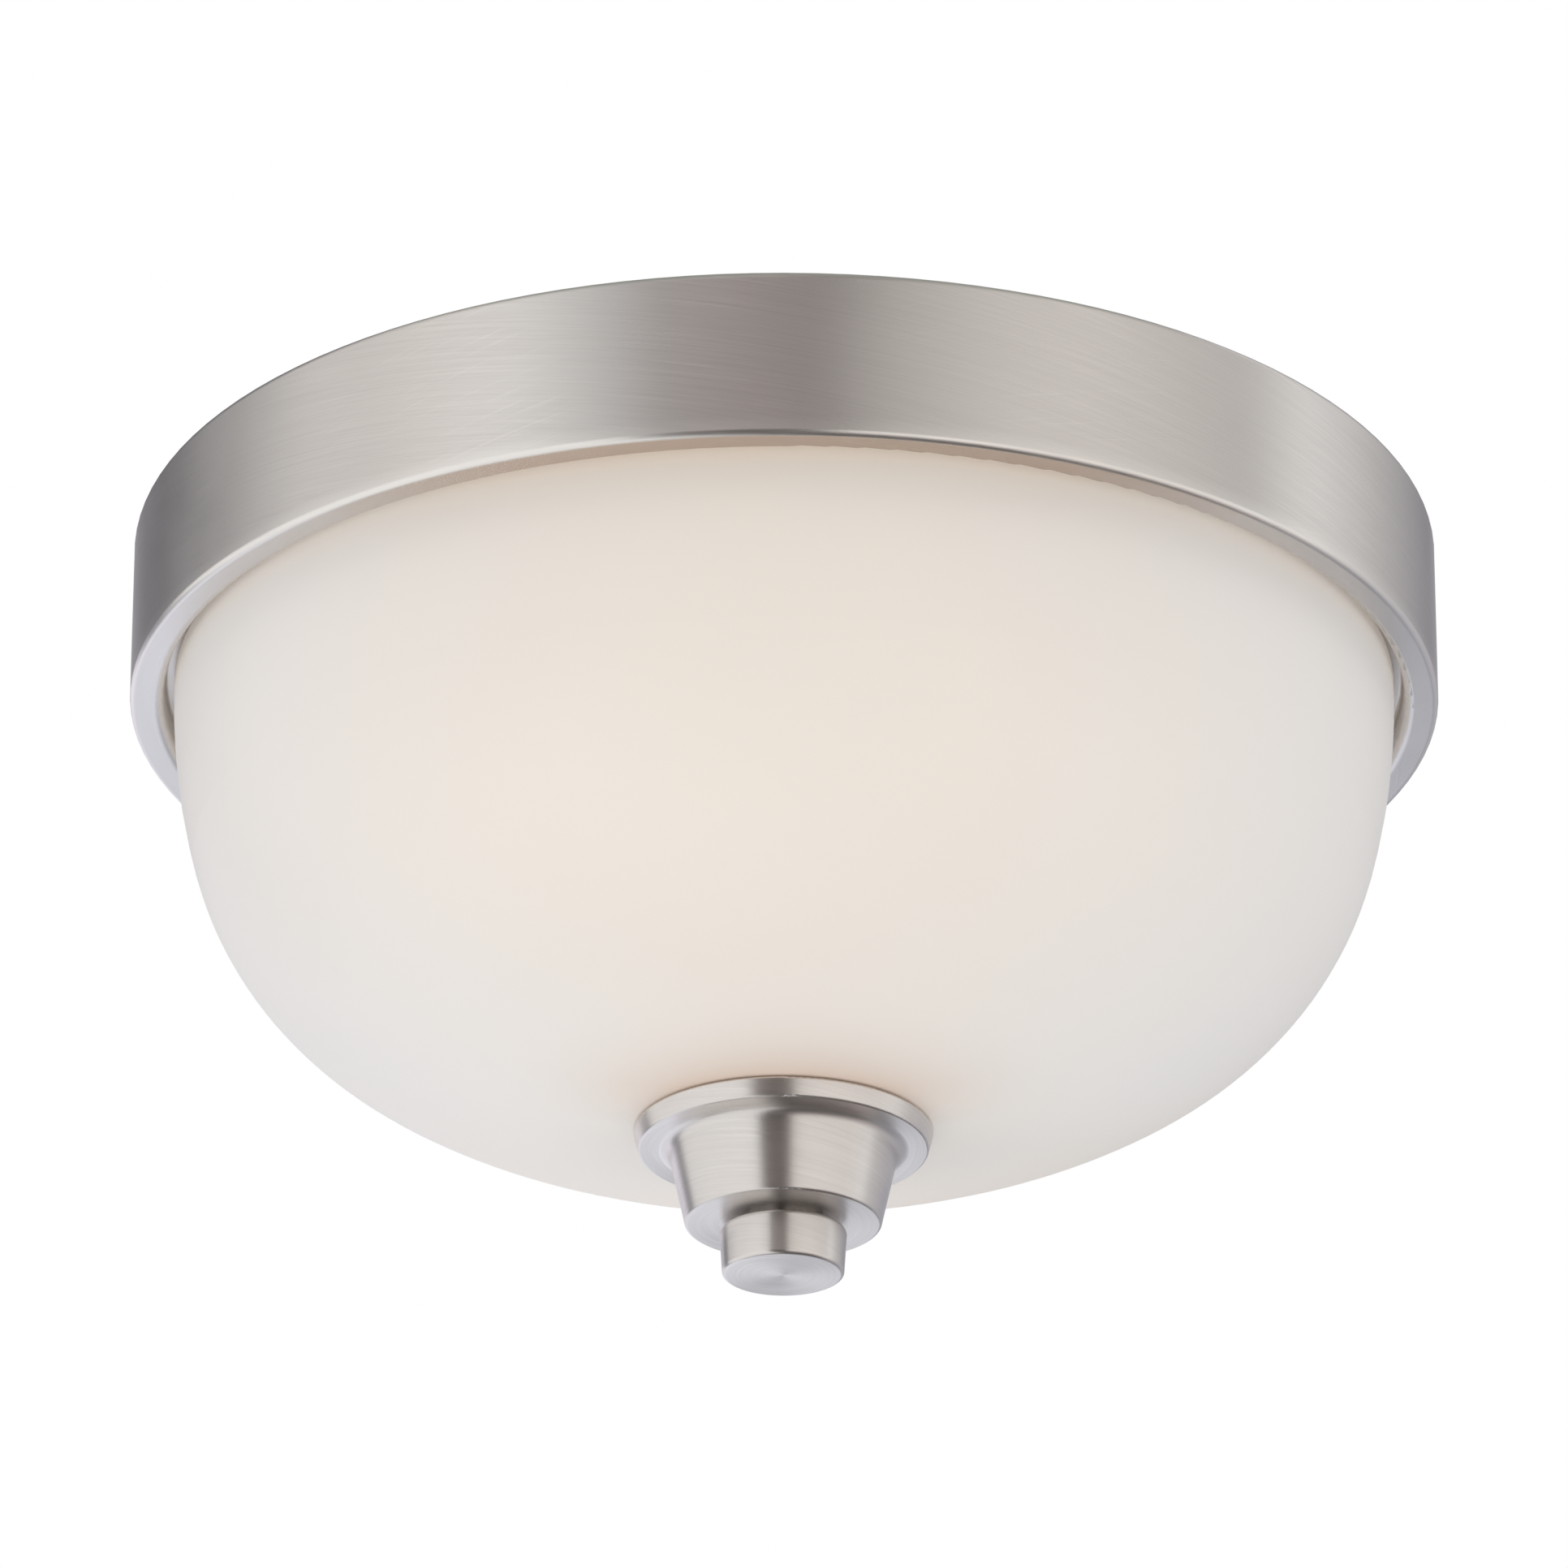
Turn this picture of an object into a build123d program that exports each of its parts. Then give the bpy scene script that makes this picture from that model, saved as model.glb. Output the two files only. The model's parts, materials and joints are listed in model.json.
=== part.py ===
"""Flush mount ceiling light: stamped pan, opal glass bowl, hanger rod with finial, two lamps.

Millimetres. The origin is the centre of the ceiling face of the mounting crossbar, +Z is up,
the light hangs towards -Z and its front is at -Y. Pieces named front and rear are one set
turned half a turn about Z.
"""

from build123d import *
from math import atan, cos, degrees, pi, radians, sin, sqrt, tan
import os

# ---------------------------------------------------------------- driving dimensions
# Pan: a one-piece stamping. Its outer face is the visible one.
PAN_RADIUS = 165.0
PAN_HEIGHT = 43.5
PAN_SHEET = 0.9
RIM_WIDTH = 8.0            # rim that is turned in against the ceiling
RIM_EDGE_RADIUS = 1.8      # outside of the bend at the ceiling
SKIRT_EDGE_RADIUS = 1.5    # outside of the bend at the lower edge
FLANGE_WIDTH = 8.6         # flat ring round the glass
FLANGE_EDGE_RADIUS = 2.5
PLATE_RISE = 7.5           # the plate stands this far above the flange
PLATE_BEND = 1.0
BEAD_RADIUS = 116.0        # stiffening bead in the plate
BEAD_WIDTH = 13.0
BEAD_TOP_WIDTH = 7.0
BEAD_HEIGHT = 2.0
BEAD_BEND = 1.5
CUT_PAST = 1.0             # how far a cutter runs past the face it cuts

# Glass bowl: four tangent arcs, from the lip down to the flat seat.
GLASS_WALL = 4.0
LIP_GAP = 2.5              # between the lip and the pan's inner wall
LIP_DROP = 1.5             # between the plate and the lip
LIP_STRAIGHT = 2.5         # upright part of the wall at the lip
SHOULDER_ARC = (165.0, 15.3)   # radius, and slope in degrees where the arc ends
BELLY_ARC = (81.1, 56.8)
LOWER_ARC = (121.9, 67.7)
GLASS_SEAT_RADIUS = 14.0   # ground flat round the hole, which the last arc runs into
GLASS_HOLE_CLEARANCE = 1.14    # round the rod

# Hanger rod: hollow threaded lamp pipe, with its nuts and washers.
ROD_RADIUS = 4.86
ROD_BORE_RADIUS = 3.3
ROD_ABOVE_PLATE = 11.0
THREAD_CLEARANCE = 0.10
NUT_FLATS = 14.3
NUT_HEIGHT = 4.0
STOP_NUT_HEIGHT = 4.0
LOCK_WASHER_RADIUS = 8.2
LOCK_WASHER_HEIGHT = 0.8
LOCK_WASHER_TEETH = 12
LOCK_WASHER_NOTCH_DEPTH = 1.1
LOCK_WASHER_NOTCH_WIDTH = 1.6
STOP_WASHER_RADIUS = 13.5
STOP_WASHER_HEIGHT = 1.5
UPPER_GASKET_RADIUS = 12.5
UPPER_GASKET_HEIGHT = 2.0

# Finial cup: a turned cup whose rim carries a ring gasket under the glass.
CUP_RIM_RADIUS = 37.3
CUP_RIM_EDGE = 0.5
CUP_RIM_WALL = 1.4
CUP_GLASS_GAP = 0.3
CUP_FLANGE_HEIGHT = 4.9
CUP_FLANGE_LOWER_RADIUS = 36.0
CUP_FLANGE_EDGE = 0.6
CUP_LEDGE_DEPTH = 0.9      # from the top of the rim down to the gasket's ledge
CUP_LEDGE_WIDTH = 6.0
CUP_LEDGE_BACK = 1.0       # the cup's wall runs out this far behind the ledge's inner edge
CUP_NECK_RADIUS = 28.7
CUP_FILLET = 3.0
CUP_FOOT_RADIUS = 24.3
CUP_FOOT_EDGE = 0.8
CUP_HEIGHT = 24.6          # from the top of the rim to the foot
CUP_WALL = 2.2
CUP_HOLE_CLEARANCE = 0.5

# Finial knob
KNOB_SHOULDER_RADIUS = 9.5
KNOB_SHOULDER_HEIGHT = 1.6
KNOB_TOP_RADIUS = 15.8
KNOB_TOP_EDGE = 1.3
KNOB_BOTTOM_RADIUS = 15.06
KNOB_BOTTOM_EDGE = 1.0
KNOB_HEIGHT = 11.7
KNOB_THREAD_DEPTH = 10.3
ROD_END_GAP = 0.9

# Crossbar
CROSSBAR_LENGTH = 127.0
CROSSBAR_WIDTH = 20.0
CROSSBAR_SHEET = 1.6
BOX_SLOT_SPACING = 79.4    # slot centres: the slots reach box holes 69.9 and 88.9 apart
BOX_SLOT_LENGTH = 14.4
BOX_SLOT_WIDTH = 4.8
HUB_HOLE_RADIUS = 4.9
HUB_WALL = 1.8
HUB_HEIGHT = 2.5
COLLAR_WALL = 1.5
COLLAR_HEIGHT = 2.0

# Pan mounting screws
MOUNT_SCREW_SPACING = 114.3
SCREW_RADIUS = 2.08
SCREW_CLEARANCE = 0.06
SCREW_HEAD_RADIUS = 4.6
SCREW_HEAD_HEIGHT = 2.6
SCREW_END_GAP = 0.3        # from the screw's tip up to the ceiling face
SCREW_DRIVE_WIDTH = 1.1
SCREW_DRIVE_DEPTH = 1.2
KEYHOLE_ENTRY_RADIUS = 5.2
KEYHOLE_SLOT_WIDTH = 5.0
KEYHOLE_TRAVEL = 9.0

# Ground connection
GROUND_SCREW_X = 22.0
PAN_GROUND_POINT = (27.0, 52.0)
GROUND_HEAD_RADIUS = 4.4
GROUND_HEAD_HEIGHT = 2.4
EYELET_RADIUS = 4.0
EYELET_SHEET = 0.8
GROUND_WIRE_RADIUS = 1.0
GROUND_WIRE_LAP = 0.4      # the wire's end lies this far over its terminal's edge
PAN_GROUND_TIP = 1.5       # of the pan's ground screw, below the plate
GROUND_WIRE_GAP = 0.15     # between the wire and the sheet beside its terminals

# Insulation pad
PAD_INNER_RADIUS = 86.0
PAD_MARGIN = 4.4           # from the pad's edge out to the pan's channel
PAD_HEIGHT = 18.0

# Lamps lie along X on both sides of the rod.
LAMP_OFFSET = 40.0         # from the rod to a lamp's axis, along Y
LAMP_DROP = 38.0           # from the plate down to a lamp's axis
LAMP_MOUTH_X = 20.0        # where the front lampholder's mouth lies
GLOBE_RADIUS = 30.0
GLOBE_WALL = 0.8
GLOBE_CENTRE = 54.0        # from the lampholder's mouth
GLOBE_NECK_GAP = 0.25      # between the neck and the cap round it
GLOBE_NECK_TOP = 6.0
GLOBE_NECK_DEPTH = 12.0
CAP_RADIUS = 12.95
CAP_WALL = 0.5
CAP_EDGE = 1.2
CAP_DEPTH = 20.5
CAP_FLARE = 1.25           # the cap's mouth opens out this far round the globe
CAP_FLARE_START = 0.8
CAP_FLARE_TOP = 3.6
INSULATOR_INSET = 3.45     # from the cap's outside to the insulator's top edge
INSULATOR_FOOT_RADIUS = 5.4
INSULATOR_HEIGHT = 2.5
INSULATOR_EDGE = 0.5
TIP_RADIUS = 4.4
TIP_HEIGHT = 1.4
TIP_EDGE = 1.0

# Lampholder
HOLDER_DEPTH = 38.0
HOLDER_WALL = 2.65
HOLDER_COLLAR_STEP = 2.0   # the collar stands this far proud of the body
HOLDER_COLLAR_DEPTH = 10.0
HOLDER_COLLAR_SLOPE = 2.2
HOLDER_CAVITY_DEPTH = 29.0
HOLDER_EDGE = 1.3
HOLDER_COLLAR_EDGE = 1.0
HOLDER_MOUTH_EDGE = 0.8
SHELL_CLEARANCE = 0.3      # round the lamp's cap
SHELL_WALL = 0.4
SHELL_EDGE = 1.2
SHELL_SEAT_GAP = 0.3       # between the screw shell and the porcelain
SHELL_TOP_GAP = 2.0
SHELL_FOOT_RADIUS = 8.5
CONTACT_WIDTH = 7.0
CONTACT_LENGTH = 12.0
CONTACT_SHEET = 0.5
CONTACT_BEND = 0.5
CONTACT_SLOPE = 0.8
CONTACT_GAP = 0.3          # under the lamp's tip
LEAD_SPACING = 10.0        # between the lead holes in the holder's back
LEAD_HOLE_DEPTH = 6.0
LEAD_END_GAP = 0.5         # between a lead's end and the foot of its hole
FIXING_SPACING = 21.0      # between the fixing screws in the holder's back
FIXING_RADIUS = 1.5
FIXING_DEPTH = 8.0
FIXING_END_GAP = 1.0
FIXING_HEAD_RADIUS = 2.9
FIXING_HEAD_HEIGHT = 1.9
FIXING_HEAD_EDGE = 0.8
FIXING_DRIVE_WIDTH = 0.9
FIXING_DRIVE_DEPTH = 0.7

# Lampholder bracket
BRACKET_WIDTH = 22.0
BRACKET_SHEET = 1.2
BRACKET_BEND = 1.5
BRACKET_FOOT = 20.0
BRACKET_LEG_BELOW_AXIS = 17.0
BRACKET_CORNER = 4.0
WINDOW_WIDTH = 4.4         # slot in the leg for the leads
RIVET_SPACING = 12.0
RIVET_INSET = 7.0          # from the foot's free edge
RIVET_RADIUS = 1.6
RIVET_HEAD_RADIUS = 3.0
RIVET_HEAD_HEIGHT = 1.2
RIVET_HEAD_EDGE = 1.0

# Wiring
LEAD_RADIUS = 1.2
LEAD_HOLE_CLEARANCE = 0.3
LEAD_PAIR_SPACING = 2.6    # between the two leads in a bushing
BUSHING_POINT = (68.0, -30.0)
BUSHING_BORE_RADIUS = 3.4
BUSHING_WALL = 1.3
BUSHING_FLANGE_RADIUS = 6.3
BUSHING_FLANGE_HEIGHT = 1.4
BUSHING_EDGE = 0.6
BUSHING_LIP = 0.6
BUSHING_LIP_HEIGHT = 1.6
HOLE_CLEARANCE = 0.1
CONNECTOR_MOUTH_Y = 24.0
CONNECTOR_LENGTH = 24.0
CONNECTOR_MOUTH_RADIUS = 7.2
CONNECTOR_TIP_RADIUS = 4.6
CONNECTOR_BORE_RADIUS = 4.2
CONNECTOR_BORE_DEPTH = 15.0
CONNECTOR_SHOULDER = 7.2   # from the mouth to where the cone starts to narrow
CONNECTOR_SHOULDER_BEND = 2.0
CONNECTOR_MOUTH_EDGE = 0.8
CONNECTOR_TIP_EDGE = 1.5
CONNECTOR_GROOVES = 10
CONNECTOR_GROOVE_RADIUS = 1.0
CONNECTOR_GROOVE_DEPTH = 0.5
CONNECTOR_PAIR_SPACING = 3.0
WIRING_HEIGHT = 13.0       # from the plate's upper face to the leads and connectors

# ---------------------------------------------------------------- derived levels
PLATE_UNDER = PLATE_RISE - PAN_HEIGHT
PLATE_TOP = PLATE_UNDER + PAN_SHEET
FLANGE_INNER_RADIUS = PAN_RADIUS - FLANGE_WIDTH
LIP_RADIUS = FLANGE_INNER_RADIUS - LIP_GAP
LIP_TOP = PLATE_UNDER - LIP_DROP
LAMP_Z = PLATE_UNDER - LAMP_DROP
WIRING_Z = PLATE_TOP + WIRING_HEIGHT
PAD_OUTER_RADIUS = FLANGE_INNER_RADIUS - PAD_MARGIN
GLASS_HOLE_RADIUS = ROD_RADIUS + GLASS_HOLE_CLEARANCE
GLOBE_NECK_RADIUS = CAP_RADIUS - CAP_WALL - GLOBE_NECK_GAP
INSULATOR_TOP_RADIUS = CAP_RADIUS - INSULATOR_INSET
CAP_FLARE_RADIUS = CAP_RADIUS + CAP_FLARE
HOLDER_BACK_X = LAMP_MOUTH_X + HOLDER_DEPTH
LEG_BACK_X = HOLDER_BACK_X + BRACKET_SHEET
SHELL_INNER_RADIUS = CAP_RADIUS + SHELL_CLEARANCE
SHELL_OUTER_RADIUS = SHELL_INNER_RADIUS + SHELL_WALL
HOLDER_BORE_RADIUS = SHELL_OUTER_RADIUS + SHELL_SEAT_GAP
HOLDER_RADIUS = HOLDER_BORE_RADIUS + HOLDER_WALL
HOLDER_COLLAR_RADIUS = HOLDER_RADIUS + HOLDER_COLLAR_STEP


# ---------------------------------------------------------------- shape helpers
def section(points):
    """Face in the XZ plane from (r, z) or (r, z, corner radius) points, in order."""
    corners = [(p[0], p[1]) for p in points]
    radii = [p[2] if len(p) > 2 else 0 for p in points]
    return make_face(Plane.XZ * FilletPolyline(*corners, radius=radii, close=True))


def lathe(points):
    """Body of revolution about Z from the section's points."""
    return revolve(section(points), Axis.Z)


def disc(radius, low, high, x=0.0, y=0.0):
    """Upright cylinder from low to high."""
    return Pos(x, y, (low + high) / 2) * Cylinder(radius, high - low)


def washer(inner, outer, low, high, x=0.0, y=0.0):
    """Upright flat ring from low to high."""
    return disc(outer, low, high, x, y) - disc(inner, low, high, x, y)


def hexagon(flats, low, high):
    """Upright hexagonal block, with its upper and lower corners turned off."""
    block = Pos(0, 0, low) * extrude(RegularPolygon(flats / 2, 6, major_radius=False), high - low)
    corner_radius = flats / 2 / cos(pi / 6)
    chamfer = corner_radius - flats / 2
    turned = lathe([(0, low), (flats / 2, low), (corner_radius, low + chamfer),
                    (corner_radius, high - chamfer), (flats / 2, high), (0, high)])
    return block & turned


def sheet_outline(path, bends, thickness):
    """Outline of a bent sheet: path runs along one face, the metal lies to its right.

    bends holds the inside radius of each bend, from path's second point to its last but one.
    """
    directions = [(Vector(*b) - Vector(*a)).normalized() for a, b in zip(path, path[1:])]
    normals = [Vector(d.Y, -d.X) for d in directions]
    offset_side = [Vector(*path[0]) + normals[0] * thickness]
    path_radii, offset_radii = [0], [0]
    for i, bend in enumerate(bends):
        n1, n2 = normals[i], normals[i + 1]
        mitre = (n1 + n2) * (thickness / (1 + n1.dot(n2)))
        offset_side.append(Vector(*path[i + 1]) + mitre)
        turns_right = directions[i].cross(directions[i + 1]).Z < 0
        path_radii.append(bend + thickness if turns_right else bend)
        offset_radii.append(bend if turns_right else bend + thickness)
    offset_side.append(Vector(*path[-1]) + normals[-1] * thickness)
    path_radii.append(0)
    offset_radii.append(0)
    points = [(x, z, r) for (x, z), r in zip(path, path_radii)]
    points += [(p.X, p.Y, r) for p, r in zip(reversed(offset_side), reversed(offset_radii))]
    return points


def bend_radii(points):
    """Largest arc that each corner of a wire's route allows, as 0.45 of its shorter run."""
    radii = []
    for a, b, c in zip(points, points[1:], points[2:]):
        before, after = Vector(*b) - Vector(*a), Vector(*c) - Vector(*b)
        half_turn = radians(before.get_angle(after)) / 2
        radii.append(0.45 * min(before.length, after.length) / tan(half_turn))
    return radii


def wire_along(points, radius, name):
    """Round wire of straight runs and tangent arcs."""
    radii = bend_radii(points)
    route = FilletPolyline(*points, radius=radii)
    print(f"{name}: length {route.length:.1f}, smallest bend {min(radii):.1f}")
    start = Plane(origin=route @ 0, z_dir=route % 0)
    return sweep(start * Circle(radius), path=route)


def half_turn(part):
    """The rear piece that goes with a front one."""
    return Rot(0, 0, 180) * part


# ---------------------------------------------------------------- pan and what holds it
def bead_path():
    """Points of the stiffening bead, from its outer foot to its inner one."""
    wide, narrow = BEAD_WIDTH / 2, BEAD_TOP_WIDTH / 2
    crown = PLATE_UNDER + BEAD_HEIGHT
    return [(BEAD_RADIUS + wide, PLATE_UNDER), (BEAD_RADIUS + narrow, crown),
            (BEAD_RADIUS - narrow, crown), (BEAD_RADIUS - wide, PLATE_UNDER)]


def keyhole():
    """Cutter for one keyhole: a round entry, and a slot that ends under the crossbar's screw."""
    x = MOUNT_SCREW_SPACING / 2
    low, high = PLATE_UNDER - CUT_PAST, PLATE_TOP + CUT_PAST
    entry = disc(KEYHOLE_ENTRY_RADIUS, low, high, x, -KEYHOLE_TRAVEL)
    slot_end = disc(KEYHOLE_SLOT_WIDTH / 2, low, high, x, 0)
    slot = Pos(x, -KEYHOLE_TRAVEL / 2, (low + high) / 2) * Box(
        KEYHOLE_SLOT_WIDTH, KEYHOLE_TRAVEL, high - low)
    return entry + slot_end + slot


def rivet_points():
    """Centres of the front bracket's rivets."""
    x = LEG_BACK_X - BRACKET_FOOT + RIVET_INSET
    return [(x, -LAMP_OFFSET + side * RIVET_SPACING / 2) for side in (-1, 1)]


def ceiling_pan():
    """Stamped pan: rim, skirt, flange, inner wall and the plate that carries everything."""
    rod_hole = ROD_RADIUS + CUP_HOLE_CLEARANCE
    path = [(PAN_RADIUS - RIM_WIDTH, 0), (PAN_RADIUS, 0), (PAN_RADIUS, -PAN_HEIGHT),
            (FLANGE_INNER_RADIUS, -PAN_HEIGHT), (FLANGE_INNER_RADIUS, PLATE_UNDER),
            *bead_path(), (rod_hole, PLATE_UNDER)]
    bends = [RIM_EDGE_RADIUS - PAN_SHEET, SKIRT_EDGE_RADIUS - PAN_SHEET,
             FLANGE_EDGE_RADIUS - PAN_SHEET, PLATE_BEND] + [BEAD_BEND] * 4
    pan = lathe(sheet_outline(path, bends, PAN_SHEET))
    low, high = PLATE_UNDER - CUT_PAST, PLATE_TOP + CUT_PAST
    cuts = keyhole() + disc(bushing_hole_radius(), low, high, *BUSHING_POINT)
    for point in rivet_points():
        cuts += disc(RIVET_RADIUS + SCREW_CLEARANCE, low, high, *point)
    pan -= cuts
    pan -= half_turn(cuts)
    return pan - disc(SCREW_RADIUS + SCREW_CLEARANCE, low, high, *PAN_GROUND_POINT)


def insulation_pad():
    """Soft annular pad that lies on the plate."""
    edge = PAD_HEIGHT / 4
    low, high = PLATE_TOP + BEAD_HEIGHT, PLATE_TOP + BEAD_HEIGHT + PAD_HEIGHT
    return lathe([(PAD_INNER_RADIUS, low, edge), (PAD_OUTER_RADIUS, low, edge),
                  (PAD_OUTER_RADIUS, high, edge), (PAD_INNER_RADIUS, high, edge)])


def crossbar_hole(x, radius, wall, height):
    """Extruded collar under the strap, and the hole through it."""
    collar = disc(radius + wall, -CROSSBAR_SHEET - height, -CROSSBAR_SHEET, x)
    hole = disc(radius, -CROSSBAR_SHEET - height, 0, x)
    return collar, hole


def mounting_crossbar():
    """Flat strap with round ends, two box slots, a hub and the tapped holes."""
    strap = Pos(0, 0, -CROSSBAR_SHEET) * extrude(
        SlotOverall(CROSSBAR_LENGTH, CROSSBAR_WIDTH), CROSSBAR_SHEET)
    tapped = SCREW_RADIUS + SCREW_CLEARANCE
    holes = [crossbar_hole(0, HUB_HOLE_RADIUS, HUB_WALL, HUB_HEIGHT)]
    for side in (-1, 1):
        holes.append(crossbar_hole(side * MOUNT_SCREW_SPACING / 2, tapped, COLLAR_WALL, COLLAR_HEIGHT))
        slot = extrude(SlotOverall(BOX_SLOT_LENGTH, BOX_SLOT_WIDTH), CROSSBAR_SHEET)
        strap -= Pos(side * BOX_SLOT_SPACING / 2, 0, -CROSSBAR_SHEET) * slot
    for collar, hole in holes:
        strap = strap + collar - hole
    return strap - disc(tapped, -CROSSBAR_SHEET, 0, GROUND_SCREW_X)


def drive_slot(low, high, x=0.0, y=0.0):
    """Cutter for a straight screwdriver slot."""
    return Pos(x, y, (low + high) / 2) * Box(4 * SCREW_HEAD_RADIUS, SCREW_DRIVE_WIDTH, high - low)


def pan_mounting_screws():
    """Two long screws: heads under the plate, tips in the crossbar's tapped holes."""
    head_low = PLATE_UNDER - SCREW_HEAD_HEIGHT
    edge = SCREW_HEAD_HEIGHT / 2
    screw = lathe([(0, head_low), (SCREW_HEAD_RADIUS, head_low, edge), (SCREW_HEAD_RADIUS, PLATE_UNDER),
                   (SCREW_RADIUS, PLATE_UNDER), (SCREW_RADIUS, -SCREW_END_GAP), (0, -SCREW_END_GAP)])
    screw -= drive_slot(head_low, head_low + SCREW_DRIVE_DEPTH)
    x = MOUNT_SCREW_SPACING / 2
    return Compound(children=[Pos(side * x, 0, 0) * screw for side in (-1, 1)])


# ---------------------------------------------------------------- ground connection
def eyelet_level():
    """Height of the middle of each ring terminal, at the crossbar and at the plate."""
    return -CROSSBAR_SHEET - EYELET_SHEET / 2, PLATE_TOP + EYELET_SHEET / 2


def ground_screw(shank_low, shank_high, head_low, head_high):
    """Hexagon head and shank."""
    flats = 2 * GROUND_HEAD_RADIUS * cos(pi / 6)
    return hexagon(flats, head_low, head_high) + disc(SCREW_RADIUS, shank_low, shank_high)


def crossbar_ground_screw():
    """Screw that holds the ring terminal under the crossbar."""
    head_high = -CROSSBAR_SHEET - EYELET_SHEET
    screw = ground_screw(head_high, -SCREW_END_GAP, head_high - GROUND_HEAD_HEIGHT, head_high)
    return Pos(GROUND_SCREW_X, 0, 0) * screw


def pan_ground_screw():
    """Screw that holds the other ring terminal on the plate."""
    head_low = PLATE_TOP + EYELET_SHEET
    screw = ground_screw(PLATE_UNDER - PAN_GROUND_TIP, head_low, head_low, head_low + GROUND_HEAD_HEIGHT)
    return Pos(*PAN_GROUND_POINT, 0) * screw


def ground_wire():
    """Bare wire between two ring terminals, from the crossbar to the plate."""
    top, bottom = eyelet_level()
    x0, (x1, y1) = GROUND_SCREW_X, PAN_GROUND_POINT
    reach = EYELET_RADIUS - GROUND_WIRE_LAP
    stand_off = GROUND_WIRE_RADIUS + GROUND_WIRE_GAP
    high, low = -CROSSBAR_SHEET - stand_off, PLATE_TOP + stand_off
    route = [(x0, reach, high), (x0, reach + 8, high), (x0 + 1, y1 * 0.42, high - 8),
             (x0 + 3, y1 * 0.56, (high + low) / 2 - 2), (x1, y1 * 0.70, low + 6),
             (x1, y1 * 0.82, low + 1), (x1, y1 - reach, low)]
    wire = wire_along(route, GROUND_WIRE_RADIUS, "ground wire")
    hole = SCREW_RADIUS + SCREW_CLEARANCE
    for x, y, z in ((x0, 0, top), (x1, y1, bottom)):
        ring = washer(hole, EYELET_RADIUS, z - EYELET_SHEET / 2, z + EYELET_SHEET / 2, x, y)
        wire += ring
    heads = crossbar_ground_screw() + pan_ground_screw()
    return wire - heads


# ---------------------------------------------------------------- hanger rod and its stack
def glass_arcs(inset):
    """Knots of the bowl's wall, inset from its outer face, as (r, z, arc middle or None)."""
    r, z, slope = LIP_RADIUS - inset, LIP_TOP - LIP_STRAIGHT, 0.0
    knots = [(r, LIP_TOP, None), (r, z, None)]
    for radius, end in (SHOULDER_ARC, BELLY_ARC, LOWER_ARC):
        bend, stop = radius - inset, radians(end)
        middle = (slope + stop) / 2
        centre_r, centre_z = r - bend * cos(slope), z + bend * sin(slope)
        r, z = centre_r + bend * cos(stop), centre_z - bend * sin(stop)
        knots.append((r, z, (centre_r + bend * cos(middle), centre_z - bend * sin(middle))))
        slope = stop
    bend = bottom_bend(r, slope)
    centre_z = z + bend * sin(slope)
    middle = (slope + pi / 2) / 2
    crown = (GLASS_SEAT_RADIUS + bend * cos(middle), centre_z - bend * sin(middle))
    knots.append((GLASS_SEAT_RADIUS, centre_z - bend, crown))
    return knots


def bottom_bend(r, slope):
    """Radius of the last arc, which starts at r with a slope and ends level at the seat."""
    return (r - GLASS_SEAT_RADIUS) / cos(slope)


def glass_bottom(inset):
    """Level of the flat seat in the middle of the bowl."""
    return glass_arcs(inset)[-1][1]


def glass_level(radius):
    """Level of the bowl's outer face at a radius under the lower arc."""
    r, z, _ = glass_arcs(0)[-2]
    slope = radians(LOWER_ARC[1])
    bend = bottom_bend(r, slope)
    return z + bend * sin(slope) - sqrt(bend**2 - (radius - GLASS_SEAT_RADIUS) ** 2)


def wall_edges(inset):
    """Edges of one face of the bowl's wall, from the lip to the hole."""
    knots = glass_arcs(inset)
    edges = []
    for (r0, z0, _), (r1, z1, middle) in zip(knots, knots[1:]):
        start, end = (r0, 0, z0), (r1, 0, z1)
        if middle is None:
            edges.append(Edge.make_line(start, end))
        else:
            edges.append(Edge.make_three_point_arc(start, (middle[0], 0, middle[1]), end))
    r, z, _ = knots[-1]
    edges.append(Edge.make_line((r, 0, z), (GLASS_HOLE_RADIUS, 0, z)))
    return edges


def glass_bowl():
    """Pressed bowl with a rounded lip, a ground seat and a hole for the rod."""
    outer, inner = wall_edges(0), wall_edges(GLASS_WALL)
    lip_in, lip_out = LIP_RADIUS - GLASS_WALL, LIP_RADIUS
    crown = ((lip_in + lip_out) / 2, 0, LIP_TOP + GLASS_WALL * 0.3)
    lip = Edge.make_three_point_arc((lip_in, 0, LIP_TOP), crown, (lip_out, 0, LIP_TOP))
    hole = Edge.make_line((GLASS_HOLE_RADIUS, 0, glass_bottom(0)),
                          (GLASS_HOLE_RADIUS, 0, glass_bottom(GLASS_WALL)))
    return revolve(make_face(outer + inner + [lip, hole]), Axis.Z)


def stack_levels():
    """Levels above the glass seat: gasket foot, gasket top, washer top, stop nut top."""
    foot = glass_bottom(GLASS_WALL)
    gasket = foot + UPPER_GASKET_HEIGHT
    washer_top = gasket + STOP_WASHER_HEIGHT
    return foot, gasket, washer_top, washer_top + STOP_NUT_HEIGHT


def upper_gasket():
    """Rubber ring between the glass and the stop washer."""
    foot, top, _, _ = stack_levels()
    return washer(ROD_RADIUS + THREAD_CLEARANCE, UPPER_GASKET_RADIUS, foot, top)


def bowl_stop_washer():
    """Steel washer, its outer edge broken."""
    _, low, high, _ = stack_levels()
    inner = ROD_RADIUS + THREAD_CLEARANCE
    edge = STOP_WASHER_HEIGHT / 3
    return lathe([(inner, low), (STOP_WASHER_RADIUS, low, edge), (STOP_WASHER_RADIUS, high, edge),
                  (inner, high)])


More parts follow.
